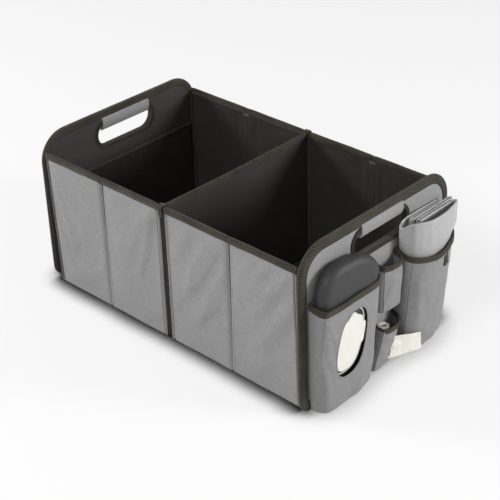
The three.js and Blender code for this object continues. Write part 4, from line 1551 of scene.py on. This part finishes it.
def tag_piece():
    long, high = 12.5, 17.0
    S, T = grid(np.linspace(0, 1, 14), np.linspace(0, 1, 16))
    z = 157.5 - high * T + 1.5 * (S - 0.5)
    share, rise = TALL.find(102.5 + long * S, z)
    normal = TALL.normal(share, rise)
    above = TALL.lift(share * TALL.length, z) + 0.9 + 1.2 * T ** 2
    front = TALL.at(share, rise) + normal * above[..., None]
    sheet("blank_tag", front, front - normal * 0.5, (long * S, high * T), TAG, "right_end", "tag")


pad_piece()
roll_piece()
bag_sheet()
tag_piece()


# Camera

def put_camera():
    camera = bpy.data.cameras.new("camera")
    camera.lens = 96.16
    camera.sensor_width = 36.0
    camera.sensor_fit = "HORIZONTAL"
    camera.shift_x = -0.00495
    camera.shift_y = -0.00354
    camera.clip_end = 50
    eye = bpy.data.objects.new("camera", camera)
    bpy.context.scene.collection.objects.link(eye)
    right = Vector((0.729301, 0.683706, -0.025819))
    above = Vector((-0.335696, 0.390455, 0.857236))
    behind = Vector((0.596178, -0.616516, 0.514276))
    turn = Matrix((right, above, behind)).transposed().to_4x4()
    eye.matrix_world = Matrix.Translation((1.318083, -1.336512, 1.213921)) @ turn
    bpy.context.scene.camera = eye


put_camera()


# World and floor

def fill_world():
    """White for the camera, softer as light."""
    world = bpy.data.worlds.new("world")
    bpy.context.scene.world = world
    world.use_nodes = True
    net = Nodes(world.node_tree)
    ray = net.node("LightPath").outputs
    either = net.math("MAXIMUM", ray["Is Camera Ray"], ray["Is Transmission Ray"])
    lit, seen = (net.node("Background", WHITE, strength).outputs[0] for strength in (0.40, 0.956))
    net.node("OutputWorld", net.node("MixShader", either, lit, seen).outputs[0])


def floor_piece():
    """Pale, and lifted to white for the camera except close to the object, where ambient occlusion paints a
    contact shadow into its colour and glow.
    """
    net = Net("floor")
    near = net.node("AmbientOcclusion", Distance=0.05)
    near.samples = 12
    ray = net.node("LightPath").outputs
    share = net.math("MAXIMUM", ray["Is Camera Ray"], ray["Is Glossy Ray"])
    # The contact shadow is strong along the front and fades beyond the right end.
    x, _, _ = net.split(net.coords("Object"))
    strength = net.range(x, 0.28, 0.31, 1.0, 0.3)
    painted_shadow = net.times(net.range(near.outputs["AO"], 0.54, 0.88, 0.98, 0.0), strength)
    open_air = net.less(1.0, painted_shadow)
    tone = net.mix(share, (0.7, 0.7, 0.7), net.mix(open_air, (0.0, 0.0, 0.0), (0.25, 0.25, 0.25)))
    diffuse = net.node("BsdfDiffuse", tone).outputs[0]
    glow = net.node("Emission", WHITE, net.times(net.times(open_air, 0.68), share)).outputs[0]
    net.node("OutputMaterial", net.node("AddShader", diffuse, glow).outputs[0])
    mesh = bpy.data.meshes.new("floor")
    mesh.from_pydata([(-9, -9, 0), (9, -9, 0), (9, 9, 0), (-9, 9, 0)], [], [(0, 1, 2, 3)])
    mesh.materials.append(net.material)
    made = bpy.data.objects.new("floor", mesh)
    bpy.context.scene.collection.objects.link(made)


fill_world()
floor_piece()


# Lamps

def lamp(name, place, aim, size, power):
    light = bpy.data.lights.new(name, "AREA")
    light.shape = "DISK"
    light.size = size
    light.energy = power
    holder = bpy.data.objects.new(name, light)
    bpy.context.scene.collection.objects.link(holder)
    holder.location = place
    holder.rotation_euler = (Vector(aim) - Vector(place)).to_track_quat("-Z", "Y").to_euler()


lamp("key", (-2.2, -1.35, 1.7), (0, 0, 0.1), 0.8, 46)
lamp("front", (0.3, -2.3, 2.1), (0, 0, 0.1), 1.0, 38)
lamp("side", (2.2, 1.2, 0.85), (0.1, 0, 0.1), 0.8, 50)

bpy.context.scene.view_settings.view_transform = "Standard"
